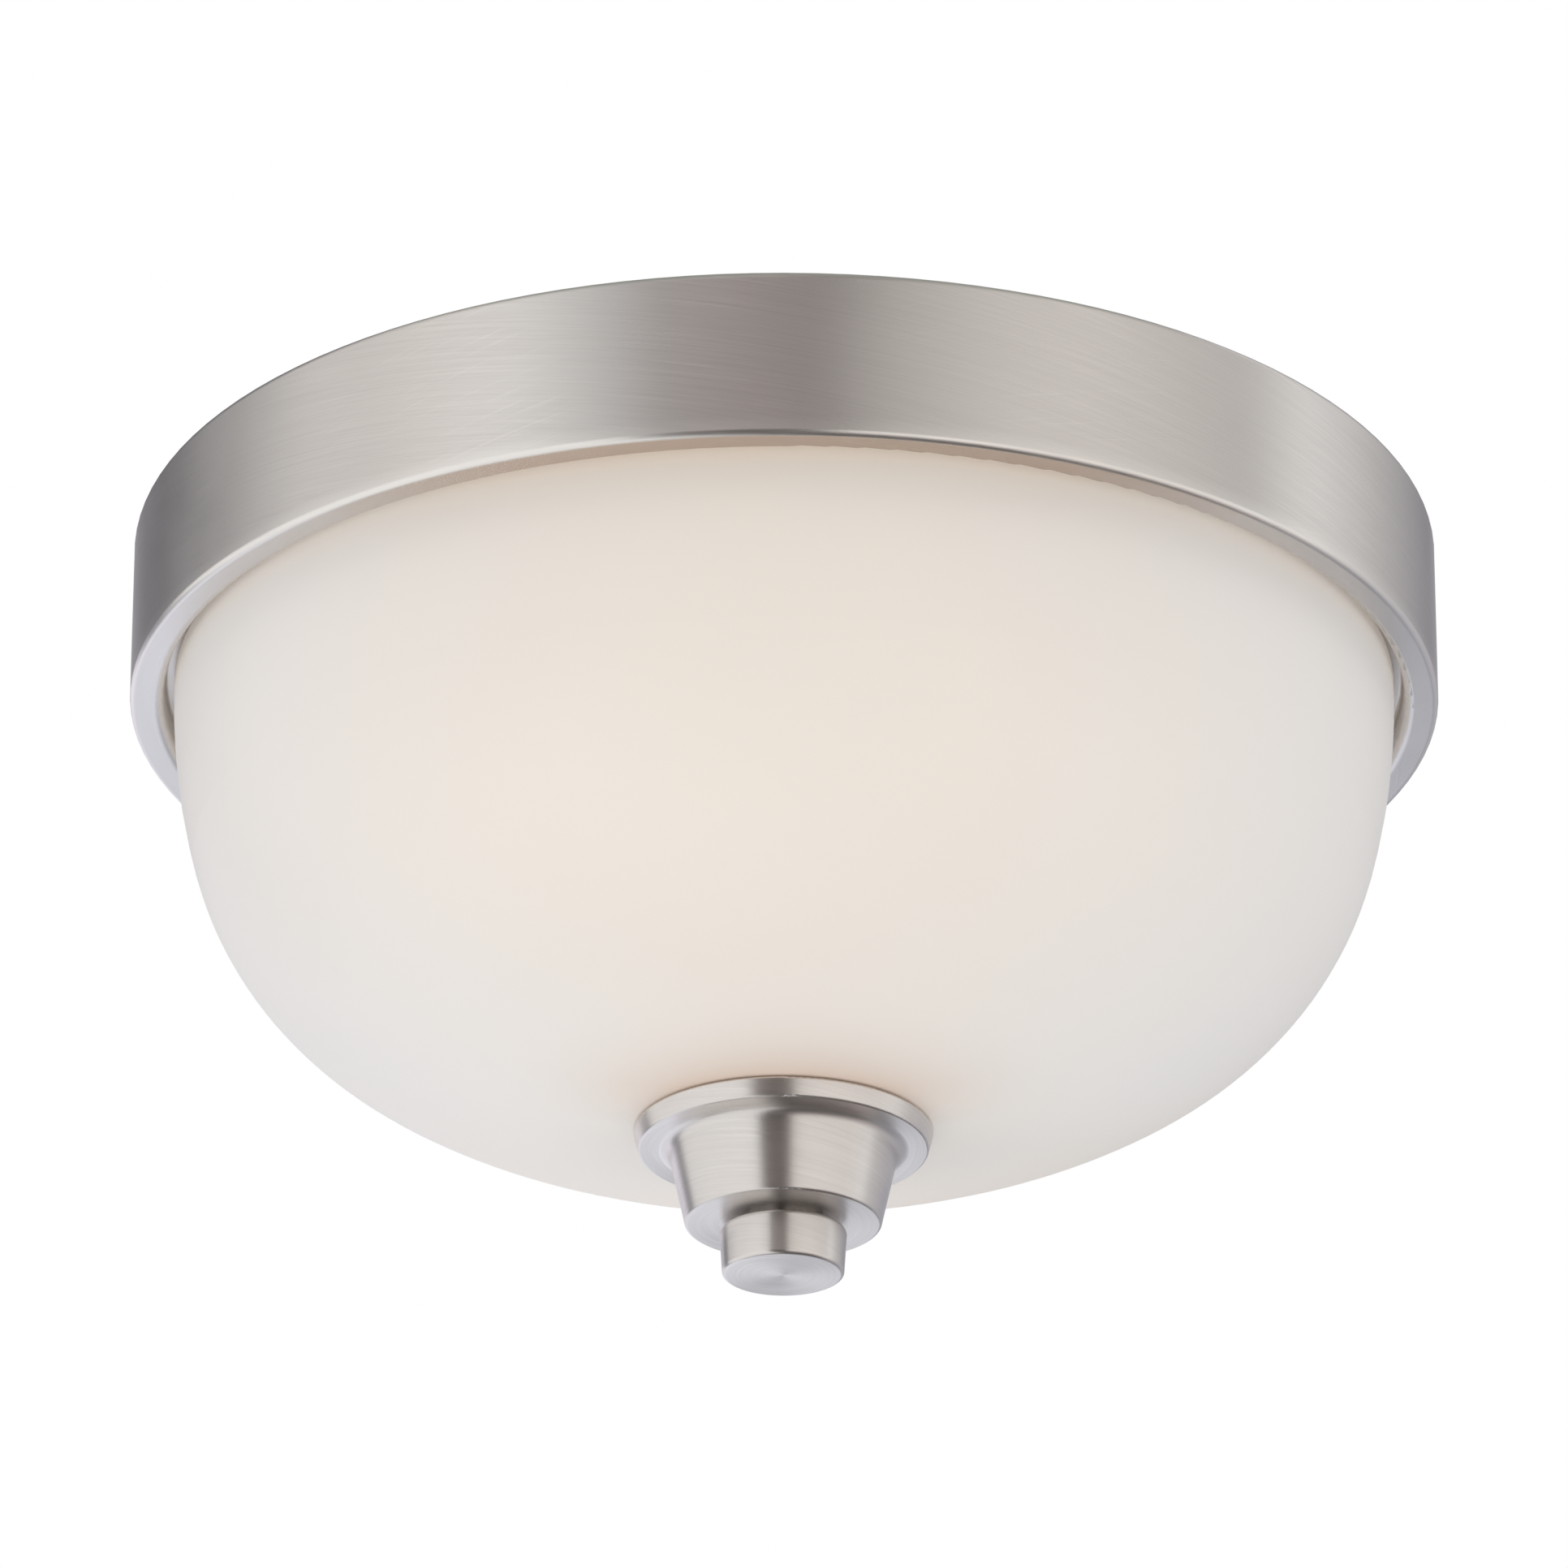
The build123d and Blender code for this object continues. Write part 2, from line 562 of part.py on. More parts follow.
def rod_nut(low, high):
    """Hexagon nut on the rod."""
    return hexagon(NUT_FLATS, low, high) - disc(ROD_RADIUS + THREAD_CLEARANCE, low, high)


def bowl_stop_nut():
    """Nut that sets how high the bowl is drawn up."""
    _, _, low, high = stack_levels()
    return rod_nut(low, high)


def rod_top_nut():
    """Nut above the plate."""
    low = PLATE_TOP + LOCK_WASHER_HEIGHT
    return rod_nut(low, low + NUT_HEIGHT)


def rod_bottom_nut():
    """Nut below the plate."""
    high = PLATE_UNDER - LOCK_WASHER_HEIGHT
    return rod_nut(high - NUT_HEIGHT, high)


def lock_washer(low):
    """Toothed lock washer."""
    high = low + LOCK_WASHER_HEIGHT
    ring = washer(ROD_RADIUS + THREAD_CLEARANCE, LOCK_WASHER_RADIUS, low, high)
    notch = Pos(LOCK_WASHER_RADIUS, 0, (low + high) / 2) * Box(
        2 * LOCK_WASHER_NOTCH_DEPTH, LOCK_WASHER_NOTCH_WIDTH, LOCK_WASHER_HEIGHT)
    for i in range(LOCK_WASHER_TEETH):
        ring -= Rot(0, 0, i * 360 / LOCK_WASHER_TEETH) * notch
    return ring


def rod_lock_washers():
    """One lock washer on each side of the plate."""
    return Compound(children=[lock_washer(PLATE_TOP), lock_washer(PLATE_UNDER - LOCK_WASHER_HEIGHT)])


def rod_end():
    """Level of the rod's lower end, inside the knob."""
    return knob_top() - KNOB_THREAD_DEPTH + ROD_END_GAP


def hanger_rod():
    """Hollow threaded pipe from above the plate into the knob."""
    high = PLATE_TOP + ROD_ABOVE_PLATE
    return washer(ROD_BORE_RADIUS, ROD_RADIUS, rod_end(), high)


# ---------------------------------------------------------------- finial
def cup_top():
    """Level of the cup's rim, just under the glass."""
    return glass_level(CUP_RIM_RADIUS - CUP_RIM_WALL) - CUP_GLASS_GAP


def cup_foot():
    """Level of the cup's flat underside, where the knob bears."""
    return cup_top() - CUP_HEIGHT


def ledge_level():
    """Level of the ledge inside the rim that carries the ring gasket."""
    return cup_top() - CUP_LEDGE_DEPTH


def lower_gasket():
    """Flat ring between the ledge and the glass, its top shaped to the glass."""
    outer = CUP_RIM_RADIUS - CUP_RIM_WALL - CUP_GLASS_GAP
    inner = CUP_RIM_RADIUS - CUP_RIM_WALL - CUP_LEDGE_WIDTH
    low, middle = ledge_level(), (inner + outer) / 2
    foot = [(inner, 0, glass_level(inner)), (inner, 0, low), (outer, 0, low), (outer, 0, glass_level(outer))]
    top = Edge.make_three_point_arc(foot[-1], (middle, 0, glass_level(middle)), foot[0])
    sides = [Edge.make_line(a, b) for a, b in zip(foot, foot[1:])]
    return revolve(make_face(sides + [top]), Axis.Z)


def finial_cup():
    """Turned cup: stepped rim, flat flange, tapered wall and a flat foot, hollow inside."""
    top, foot, ledge = cup_top(), cup_foot(), ledge_level()
    flange_low = top - CUP_FLANGE_HEIGHT
    rim_inner = CUP_RIM_RADIUS - CUP_RIM_WALL
    mouth = rim_inner - CUP_LEDGE_WIDTH - CUP_LEDGE_BACK
    floor = foot + CUP_WALL
    taper = (CUP_NECK_RADIUS - CUP_FOOT_RADIUS) / (flange_low - foot)
    floor_radius = CUP_FOOT_RADIUS + taper * CUP_WALL - CUP_WALL
    throat = CUP_NECK_RADIUS - CUP_WALL
    hole = ROD_RADIUS + CUP_HOLE_CLEARANCE
    return lathe([
        (rim_inner, top, CUP_RIM_EDGE / 2), (CUP_RIM_RADIUS, top, CUP_RIM_EDGE),
        (CUP_FLANGE_LOWER_RADIUS, flange_low, CUP_FLANGE_EDGE),
        (CUP_NECK_RADIUS, flange_low, CUP_FILLET), (CUP_FOOT_RADIUS, foot, CUP_FOOT_EDGE),
        (hole, foot), (hole, floor), (floor_radius, floor, CUP_WALL / 2),
        (throat, flange_low), (mouth, ledge), (rim_inner, ledge)])


def knob_top():
    """Level of the knob's shoulder, against the cup's foot."""
    return cup_foot()


def finial_knob():
    """Turned knob with a shoulder, a slight taper and a blind tapped hole."""
    top = knob_top()
    head = top - KNOB_SHOULDER_HEIGHT
    bottom = head - KNOB_HEIGHT
    bore = ROD_RADIUS + THREAD_CLEARANCE
    return lathe([
        (bore, top), (KNOB_SHOULDER_RADIUS, top), (KNOB_SHOULDER_RADIUS, head),
        (KNOB_TOP_RADIUS, head, KNOB_TOP_EDGE), (KNOB_BOTTOM_RADIUS, bottom, KNOB_BOTTOM_EDGE),
        (0, bottom), (0, top - KNOB_THREAD_DEPTH), (bore, top - KNOB_THREAD_DEPTH)])


# ---------------------------------------------------------------- lamps and lampholders
def along_lamp(part):
    """Place a piece made along +Z from a lampholder's mouth on the front lamp's axis."""
    mouth = Plane(origin=(LAMP_MOUTH_X, -LAMP_OFFSET, LAMP_Z), x_dir=(0, 0, 1), z_dir=(-1, 0, 0))
    return mouth.location * part


def globe_edges(inset):
    """Edges of the globe's wall, inset from its outer face, from the neck to the crown."""
    neck, ball = GLOBE_NECK_RADIUS - inset, GLOBE_RADIUS - inset
    rise = GLOBE_CENTRE - GLOBE_NECK_TOP
    hollow = (neck**2 + rise**2 - ball**2) / (2 * (ball - neck))
    turn = atan(rise / (neck + hollow))
    join = (ball * cos(turn), 0, GLOBE_CENTRE - ball * sin(turn))
    half = turn / 2
    waist = (neck + hollow - hollow * cos(half), 0, GLOBE_NECK_TOP + hollow * sin(half))
    side = (ball, 0, GLOBE_CENTRE)
    crown = (0, 0, GLOBE_CENTRE + ball)
    foot, neck_top = (neck, 0, -GLOBE_NECK_DEPTH), (neck, 0, GLOBE_NECK_TOP)
    return [Edge.make_line(foot, neck_top), Edge.make_three_point_arc(neck_top, waist, join),
            Edge.make_three_point_arc(join, side, crown)]


def bulb_globe():
    """Blown envelope: a ball that runs into the neck on a hollow curve."""
    outer, inner = globe_edges(0), globe_edges(GLOBE_WALL)
    crown = Edge.make_line(inner[-1] @ 1, outer[-1] @ 1)
    foot = Edge.make_line(outer[0] @ 0, inner[0] @ 0)
    return along_lamp(revolve(make_face(outer + inner + [crown, foot]), Axis.Z))


def bulb_cap():
    """Metal screw cap with a flared mouth."""
    inner = CAP_RADIUS - CAP_WALL
    flare_inner = CAP_FLARE_RADIUS - CAP_WALL
    foot = -CAP_DEPTH
    return along_lamp(lathe([
        (INSULATOR_FOOT_RADIUS, foot), (CAP_RADIUS, foot, CAP_EDGE), (CAP_RADIUS, CAP_FLARE_START),
        (CAP_FLARE_RADIUS, CAP_FLARE_TOP), (flare_inner, CAP_FLARE_TOP), (inner, CAP_FLARE_START),
        (inner, foot + CAP_WALL, CAP_EDGE - CAP_WALL), (INSULATOR_FOOT_RADIUS, foot + CAP_WALL)]))


def bulb_insulator():
    """Black glass cone between the cap and the tip contact."""
    foot = -CAP_DEPTH - INSULATOR_HEIGHT
    return along_lamp(lathe([
        (0, foot), (INSULATOR_FOOT_RADIUS, foot, INSULATOR_EDGE), (INSULATOR_TOP_RADIUS, -CAP_DEPTH),
        (0, -CAP_DEPTH)]))


def bulb_contact():
    """Soldered tip contact, a low dome."""
    top = -CAP_DEPTH - INSULATOR_HEIGHT
    foot = top - TIP_HEIGHT
    return along_lamp(lathe([(0, foot), (TIP_RADIUS, foot, TIP_EDGE), (TIP_RADIUS, top), (0, top)]))


def back_points(spacing, upright):
    """Two points in the holder's back, in its own plane, above each other or side by side."""
    half = spacing / 2
    return [(half, 0), (-half, 0)] if upright else [(0, half), (0, -half)]


def lampholder_body():
    """Porcelain body: collar, bore for the screw shell, and holes in its back."""
    back, floor, collar = -HOLDER_DEPTH, -HOLDER_CAVITY_DEPTH, -HOLDER_COLLAR_DEPTH
    body = lathe([
        (0, back), (HOLDER_RADIUS, back, HOLDER_EDGE), (HOLDER_RADIUS, collar - HOLDER_COLLAR_SLOPE),
        (HOLDER_COLLAR_RADIUS, collar, HOLDER_COLLAR_EDGE), (HOLDER_COLLAR_RADIUS, 0, HOLDER_EDGE),
        (HOLDER_BORE_RADIUS, 0, HOLDER_MOUTH_EDGE), (HOLDER_BORE_RADIUS, floor), (0, floor)])
    for x, y in back_points(LEAD_SPACING, False):
        body -= disc(LEAD_RADIUS + LEAD_HOLE_CLEARANCE, back, back + LEAD_HOLE_DEPTH, x, y)
    for x, y in back_points(FIXING_SPACING, True):
        body -= disc(FIXING_RADIUS + SCREW_CLEARANCE, back, back + FIXING_DEPTH, x, y)
    return along_lamp(body)


def screw_shell():
    """Brass shell that takes the lamp's cap, turned in at its foot."""
    foot, top = -HOLDER_CAVITY_DEPTH, -SHELL_TOP_GAP
    return along_lamp(lathe([
        (SHELL_FOOT_RADIUS, foot), (SHELL_OUTER_RADIUS, foot, SHELL_EDGE), (SHELL_OUTER_RADIUS, top),
        (SHELL_INNER_RADIUS, top), (SHELL_INNER_RADIUS, foot + SHELL_WALL, SHELL_EDGE - SHELL_WALL),
        (SHELL_FOOT_RADIUS, foot + SHELL_WALL)]))


def centre_contact():
    """Spring tongue on the holder's floor, folded back under the lamp's tip."""
    floor = -HOLDER_CAVITY_DEPTH
    tongue = -CAP_DEPTH - INSULATOR_HEIGHT - TIP_HEIGHT - CONTACT_GAP
    half = CONTACT_LENGTH / 2
    path = [(half, floor), (-half, floor), (-half, tongue - CONTACT_SLOPE), (half / 2, tongue)]
    face = section(sheet_outline(path, [CONTACT_BEND] * 2, CONTACT_SHEET))
    return along_lamp(extrude(face, CONTACT_WIDTH / 2, both=True))


def lampholder_bracket():
    """Bent strip: a foot riveted under the plate and a leg behind the lampholder."""
    leg_low = LAMP_Z - BRACKET_LEG_BELOW_AXIS
    path = [(LEG_BACK_X - BRACKET_FOOT, PLATE_UNDER), (LEG_BACK_X, PLATE_UNDER), (LEG_BACK_X, leg_low)]
    face = section(sheet_outline(path, [BRACKET_BEND], BRACKET_SHEET))
    strip = Pos(0, -LAMP_OFFSET, 0) * extrude(face, BRACKET_WIDTH / 2, both=True)
    low_corners = strip.edges().filter_by(Axis.X).group_by(Axis.Z)[0]
    strip = fillet(low_corners, BRACKET_CORNER)
    leg = Plane(origin=(LEG_BACK_X, -LAMP_OFFSET, LAMP_Z), x_dir=(0, 1, 0), z_dir=(1, 0, 0))
    window = leg * SlotOverall(LEAD_SPACING + WINDOW_WIDTH, WINDOW_WIDTH)
    strip -= extrude(window, BRACKET_SHEET + CUT_PAST, both=True)
    hole = Rot(0, 90, 0) * Cylinder(FIXING_RADIUS + SCREW_CLEARANCE, 2 * (BRACKET_SHEET + CUT_PAST))
    for side in (-1, 1):
        strip -= Pos(LEG_BACK_X, -LAMP_OFFSET, LAMP_Z + side * FIXING_SPACING / 2) * hole
    for x, y in rivet_points():
        strip -= disc(RIVET_RADIUS + SCREW_CLEARANCE, PLATE_UNDER - 2 * BRACKET_SHEET, PLATE_UNDER, x, y)
    return strip


def lampholder_screws():
    """Two screws through the bracket's leg into the porcelain."""
    seat = -HOLDER_DEPTH - BRACKET_SHEET
    head = seat - FIXING_HEAD_HEIGHT
    tip = -HOLDER_DEPTH + FIXING_DEPTH - FIXING_END_GAP
    screw = lathe([(0, head), (FIXING_HEAD_RADIUS, head, FIXING_HEAD_EDGE), (FIXING_HEAD_RADIUS, seat),
                   (FIXING_RADIUS, seat), (FIXING_RADIUS, tip), (0, tip)])
    screw -= Pos(0, 0, head) * Box(3 * FIXING_HEAD_RADIUS, FIXING_DRIVE_WIDTH, 2 * FIXING_DRIVE_DEPTH)
    pair = [Pos(x, y, 0) * screw for x, y in back_points(FIXING_SPACING, True)]
    return Compound(children=[along_lamp(screw) for screw in pair])


def bracket_rivets():
    """Four rivets through the bracket feet and the plate."""
    head_top = PLATE_UNDER - BRACKET_SHEET
    head_low = head_top - RIVET_HEAD_HEIGHT
    tail_high = PLATE_TOP + RIVET_HEAD_HEIGHT
    rivet = lathe([
        (0, head_low), (RIVET_HEAD_RADIUS, head_low, RIVET_HEAD_EDGE), (RIVET_HEAD_RADIUS, head_top),
        (RIVET_RADIUS, head_top), (RIVET_RADIUS, PLATE_TOP), (RIVET_HEAD_RADIUS, PLATE_TOP),
        (RIVET_HEAD_RADIUS, tail_high, RIVET_HEAD_EDGE), (0, tail_high)])
    front = [Pos(x, y, 0) * rivet for x, y in rivet_points()]
    return Compound(children=front + [half_turn(r) for r in front])


# ---------------------------------------------------------------- wiring
def bushing_hole_radius():
    """Radius of the plate's hole for a bushing."""
    return BUSHING_BORE_RADIUS + BUSHING_WALL + HOLE_CLEARANCE


def wire_bushing():
    """Snap-in bushing: flange under the plate, barrel through it and a lip above."""
    barrel = BUSHING_BORE_RADIUS + BUSHING_WALL
    lip = barrel + BUSHING_LIP
    low = PLATE_UNDER - BUSHING_FLANGE_HEIGHT
    high = PLATE_TOP + BUSHING_LIP_HEIGHT
    ring = lathe([
        (BUSHING_BORE_RADIUS, low, BUSHING_EDGE), (BUSHING_FLANGE_RADIUS, low, BUSHING_EDGE),
        (BUSHING_FLANGE_RADIUS, PLATE_UNDER), (barrel, PLATE_UNDER), (barrel, PLATE_TOP),
        (lip, PLATE_TOP), (barrel, high), (BUSHING_BORE_RADIUS, high)])
    return Pos(*BUSHING_POINT, 0) * ring


def lead_start(side):
    """Where a lead lies in the holder's back, and where it leaves the bracket."""
    y = -LAMP_OFFSET + side * LEAD_SPACING / 2
    return (HOLDER_BACK_X - LEAD_HOLE_DEPTH + LEAD_END_GAP, y, LAMP_Z), (LEG_BACK_X + 7, y, LAMP_Z)


def bushing_pass(side):
    """Points of a lead just under and just above its bushing."""
    x, y = BUSHING_POINT[0], BUSHING_POINT[1] + side * LEAD_PAIR_SPACING / 2
    return (x, y, PLATE_UNDER - 9), (x, y, WIRING_Z + 1)


def long_route():
    """Lead from the front lampholder to the connector behind the rod."""
    start, leave = lead_start(1)
    under, above = bushing_pass(1)
    mouth_x = CONNECTOR_PAIR_SPACING / 2
    y = CONNECTOR_MOUTH_Y
    return [start, leave, (LEG_BACK_X + 12, -LAMP_OFFSET + 8.5, LAMP_Z + 11), under, above,
            (55, -21, WIRING_Z + 4), (36, -4, WIRING_Z - 1), (16, 6, WIRING_Z + 1),
            (mouth_x, y - 9, WIRING_Z), (mouth_x, y + CONNECTOR_BORE_DEPTH - 2, WIRING_Z)]


def short_route():
    """Lead from the front lampholder to the connector before the rod."""
    start, leave = lead_start(-1)
    under, above = bushing_pass(-1)
    mouth_x = CONNECTOR_PAIR_SPACING / 2
    y = -CONNECTOR_MOUTH_Y
    return [start, leave, (LEG_BACK_X + 13, -LAMP_OFFSET + 1, LAMP_Z + 11), under, above,
            (53, -27, WIRING_Z + 4), (33, -17, WIRING_Z), (16, -10, WIRING_Z + 2),
            (mouth_x, y + 7, WIRING_Z), (mouth_x, y - CONNECTOR_BORE_DEPTH + 2, WIRING_Z)]


def wire_connector():
    """Plastic cone with grip grooves, behind the rod, its mouth towards the front."""
    length, bore, mouth, tip = (CONNECTOR_LENGTH, CONNECTOR_BORE_RADIUS, CONNECTOR_MOUTH_RADIUS,
                                CONNECTOR_TIP_RADIUS)
    cone = lathe([
        (bore, 0), (mouth, 0, CONNECTOR_MOUTH_EDGE),
        (mouth, CONNECTOR_SHOULDER, CONNECTOR_SHOULDER_BEND), (tip, length, CONNECTOR_TIP_EDGE),
        (0, length), (0, CONNECTOR_BORE_DEPTH), (bore, CONNECTOR_BORE_DEPTH)])
    lean = degrees(atan((mouth - tip) / length))
    groove_x = mouth - CONNECTOR_GROOVE_DEPTH + CONNECTOR_GROOVE_RADIUS
    groove = Pos(groove_x, 0, 0) * Cylinder(CONNECTOR_GROOVE_RADIUS, 2 * length)
    groove = Pos(0, 0, length / 2) * Rot(0, -lean, 0) * groove
    for i in range(CONNECTOR_GROOVES):
        cone -= Rot(0, 0, i * 360 / CONNECTOR_GROOVES) * groove
    return Pos(0, CONNECTOR_MOUTH_Y, WIRING_Z) * Rot(-90, 0, 0) * cone


# ---------------------------------------------------------------- the nodes
def build_nodes():
    """Every piece of the light, by node name."""
    nodes = {
        "ceiling_pan": ceiling_pan(),
        "insulation_pad": insulation_pad(),
        "mounting_crossbar": mounting_crossbar(),
        "pan_mounting_screws": pan_mounting_screws(),
        "crossbar_ground_screw": crossbar_ground_screw(),
        "pan_ground_screw": pan_ground_screw(),
        "ground_wire": ground_wire(),
        "hanger_rod": hanger_rod(),
        "rod_top_nut": rod_top_nut(),
        "rod_bottom_nut": rod_bottom_nut(),
        "rod_lock_washers": rod_lock_washers(),
        "bowl_stop_nut": bowl_stop_nut(),
        "bowl_stop_washer": bowl_stop_washer(),
        "upper_gasket": upper_gasket(),
        "glass_bowl": glass_bowl(),
        "lower_gasket": lower_gasket(),
        "finial_cup": finial_cup(),
        "finial_knob": finial_knob(),
        "bracket_rivets": bracket_rivets(),
    }
    pairs = {
        "lampholder_bracket": lampholder_bracket,
        "lampholder_body": lampholder_body,
        "lampholder_screws": lampholder_screws,
        "screw_shell": screw_shell,
        "centre_contact": centre_contact,
        "bulb_globe": bulb_globe,
        "bulb_cap": bulb_cap,
        "bulb_insulator": bulb_insulator,
        "bulb_contact": bulb_contact,
        "wire_bushing": wire_bushing,
    }
    for name, make in pairs.items():
        front = make()
        nodes[name + "_front"] = front
        nodes[name + "_rear"] = half_turn(front)
    long_lead = wire_along(long_route(), LEAD_RADIUS, "long lead")
    short_lead = wire_along(short_route(), LEAD_RADIUS, "short lead")
    nodes["black_lead_front"] = long_lead
    nodes["black_lead_rear"] = half_turn(short_lead)
    nodes["white_lead_front"] = short_lead
    nodes["white_lead_rear"] = half_turn(long_lead)
    connector = wire_connector()
    nodes["wire_connector_black"] = connector
    nodes["wire_connector_white"] = half_turn(connector)
    return nodes


os.makedirs("parts", exist_ok=True)
for node, shape in build_nodes().items():
    export_step(shape, f"parts/{node}.step")
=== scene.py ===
import json
from math import asin, cos, pi, radians, sin

import bmesh
import bpy
from mathutils import Matrix, Vector, noise


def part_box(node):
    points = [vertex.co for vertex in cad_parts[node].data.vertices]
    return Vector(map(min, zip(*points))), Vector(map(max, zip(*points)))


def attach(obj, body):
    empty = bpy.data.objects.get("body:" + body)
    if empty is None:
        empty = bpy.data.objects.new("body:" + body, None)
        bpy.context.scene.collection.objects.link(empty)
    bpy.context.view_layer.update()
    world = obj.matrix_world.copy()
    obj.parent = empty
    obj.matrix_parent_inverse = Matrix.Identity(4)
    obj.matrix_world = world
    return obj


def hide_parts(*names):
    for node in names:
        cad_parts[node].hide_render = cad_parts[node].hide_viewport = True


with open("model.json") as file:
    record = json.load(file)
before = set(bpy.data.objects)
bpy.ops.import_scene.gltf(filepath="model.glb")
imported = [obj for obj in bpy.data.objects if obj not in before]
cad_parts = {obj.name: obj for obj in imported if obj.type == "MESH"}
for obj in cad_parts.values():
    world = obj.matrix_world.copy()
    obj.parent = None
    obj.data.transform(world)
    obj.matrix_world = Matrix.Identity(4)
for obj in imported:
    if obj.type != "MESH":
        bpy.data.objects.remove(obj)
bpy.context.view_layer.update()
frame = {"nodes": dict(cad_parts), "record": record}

nodes = frame["nodes"]
MM = 0.001
INCH = 25.4 * MM


# ---------------------------------------------------------------- node tree helpers
def add(tree, kind, inputs=None, **settings):
    """A node of this kind. inputs maps its sockets, by name or number, to values or sockets."""
    n = tree.nodes.new(kind)
    for key, value in settings.items():
        setattr(n, key, value)
    for key, value in (inputs or {}).items():
        if isinstance(value, bpy.types.NodeSocket):
            tree.links.new(value, n.inputs[key])
        else:
            n.inputs[key].default_value = value
    return n


def maths(tree, operation, *values):
    """Output of a Math node."""
    return add(tree, "ShaderNodeMath", dict(enumerate(values)), operation=operation).outputs[0]


def place(tree):
    """The point on the piece, in metres."""
    return add(tree, "ShaderNodeTexCoord").outputs["Object"]


def coordinates(tree):
    """x, y, z and the distance from the light's axis."""
    x, y, z = add(tree, "ShaderNodeSeparateXYZ", {0: place(tree)}).outputs
    square = maths(tree, "ADD", maths(tree, "MULTIPLY", x, x), maths(tree, "MULTIPLY", y, y))
    return x, y, z, maths(tree, "SQRT", square)


def stretched(tree, scale, point=None):
    """The point with each axis scaled."""
    node = add(tree, "ShaderNodeVectorMath", {0: point or place(tree), 1: scale}, operation="MULTIPLY")
    return node.outputs[0]


def grain(tree, scale, detail=3.0, roughness=0.5, vector=None):
    """Noise from 0 to 1, with features of about 1 / scale metres."""
    return add(tree, "ShaderNodeTexNoise", {"Vector": vector or place(tree), "Scale": scale,
                                            "Detail": detail, "Roughness": roughness}).outputs[0]


def spread(tree, value, low, high, start=0.3, end=0.7):
    """value from start..end mapped to low..high and kept between them."""
    return add(tree, "ShaderNodeMapRange", {0: value, 1: start, 2: end, 3: low, 4: high}).outputs[0]


def rising(tree, value, levels):
    """0 below both levels, 1 above them."""
    return spread(tree, value, 0.0, 1.0, *levels)


def falling(tree, value, levels):
    """1 below both levels, 0 above them."""
    return spread(tree, value, 1.0, 0.0, *levels)


def tint(tree, value, first, second):
    """Colour between two, by value. Either may be a colour or a socket."""
    mix = add(tree, "ShaderNodeMix", {0: value}, data_type="RGBA")
    for socket, colour in ((mix.inputs[6], first), (mix.inputs[7], second)):
        if isinstance(colour, bpy.types.NodeSocket):
            tree.links.new(colour, socket)
        else:
            socket.default_value = (*colour, 1)
    return mix.outputs[2]


def bump(tree, height, distance, strength=1.0, normal=None):
    """Normal of a relief, distance in metres."""
    inputs = {"Height": height, "Distance": distance, "Strength": strength}
    if normal:
        inputs["Normal"] = normal
    return add(tree, "ShaderNodeBump", inputs).outputs[0]


def material(name, build, **constants):
    """Material whose node tree build(tree) fills; it returns what it links to the shader."""
    made = bpy.data.materials.new(name)
    made.use_nodes = True
    tree = made.node_tree
    shader = tree.nodes["Principled BSDF"]
    for key, value in constants.items():
        shader.inputs[key.replace("_", " ")].default_value = value
    for key, socket in build(tree).items():
        tree.links.new(socket, shader.inputs[key])
    return made


# ---------------------------------------------------------------- brushed nickel
BRUSH_LEAN = 0.19                        # how much the brush lines fall towards +X at the front
FINE_LINES = (45, 45, 5200)              # noise scales along x, y and across the lines
BROAD_LINES = (20, 20, 1500)
SCRATCH_LINES = (30, 30, 2600)
SCRATCH_ANGLE = radians(14)
PAN_LEVELS = (-0.051, -0.050)            # above these a point is on the pan, not on the cup or knob
EDGE_HIGHLIGHT_LEVELS = (-0.0425, -0.0385)         # skirt's lower edge, where a paler colour is a painted highlight
EDGE_HIGHLIGHT_STRENGTH = 0.7
PLAIN_RADII = (0.1636, 0.1642)           # inside these the pan is plain plate that isn't brushed
REFLECTION_FRONT = (-0.146, -0.116)           # y between which the plain plate goes from a painted brown reflection of the glass to silver
PITTED_SIDE = (-0.075, -0.035)           # x between which its bright pits fade
NICKEL = (0.72, 0.685, 0.66), (0.83, 0.795, 0.765)
SCRATCHED = (0.95, 0.93, 0.90)
# Colour of the painted highlight along the skirt's lower edge.
EDGE_HIGHLIGHT_COLOUR = (0.93, 0.90, 0.865)
# Browns of the painted reflection of the glass on the front of the plain plate.
GLASS_REFLECTION_BROWNS = (0.62, 0.525, 0.460), (0.66, 0.565, 0.505)
PIT_COLOUR = (0.92, 0.90, 0.87)
SILVER_PLATE = (0.70, 0.675, 0.66), (0.76, 0.735, 0.72)


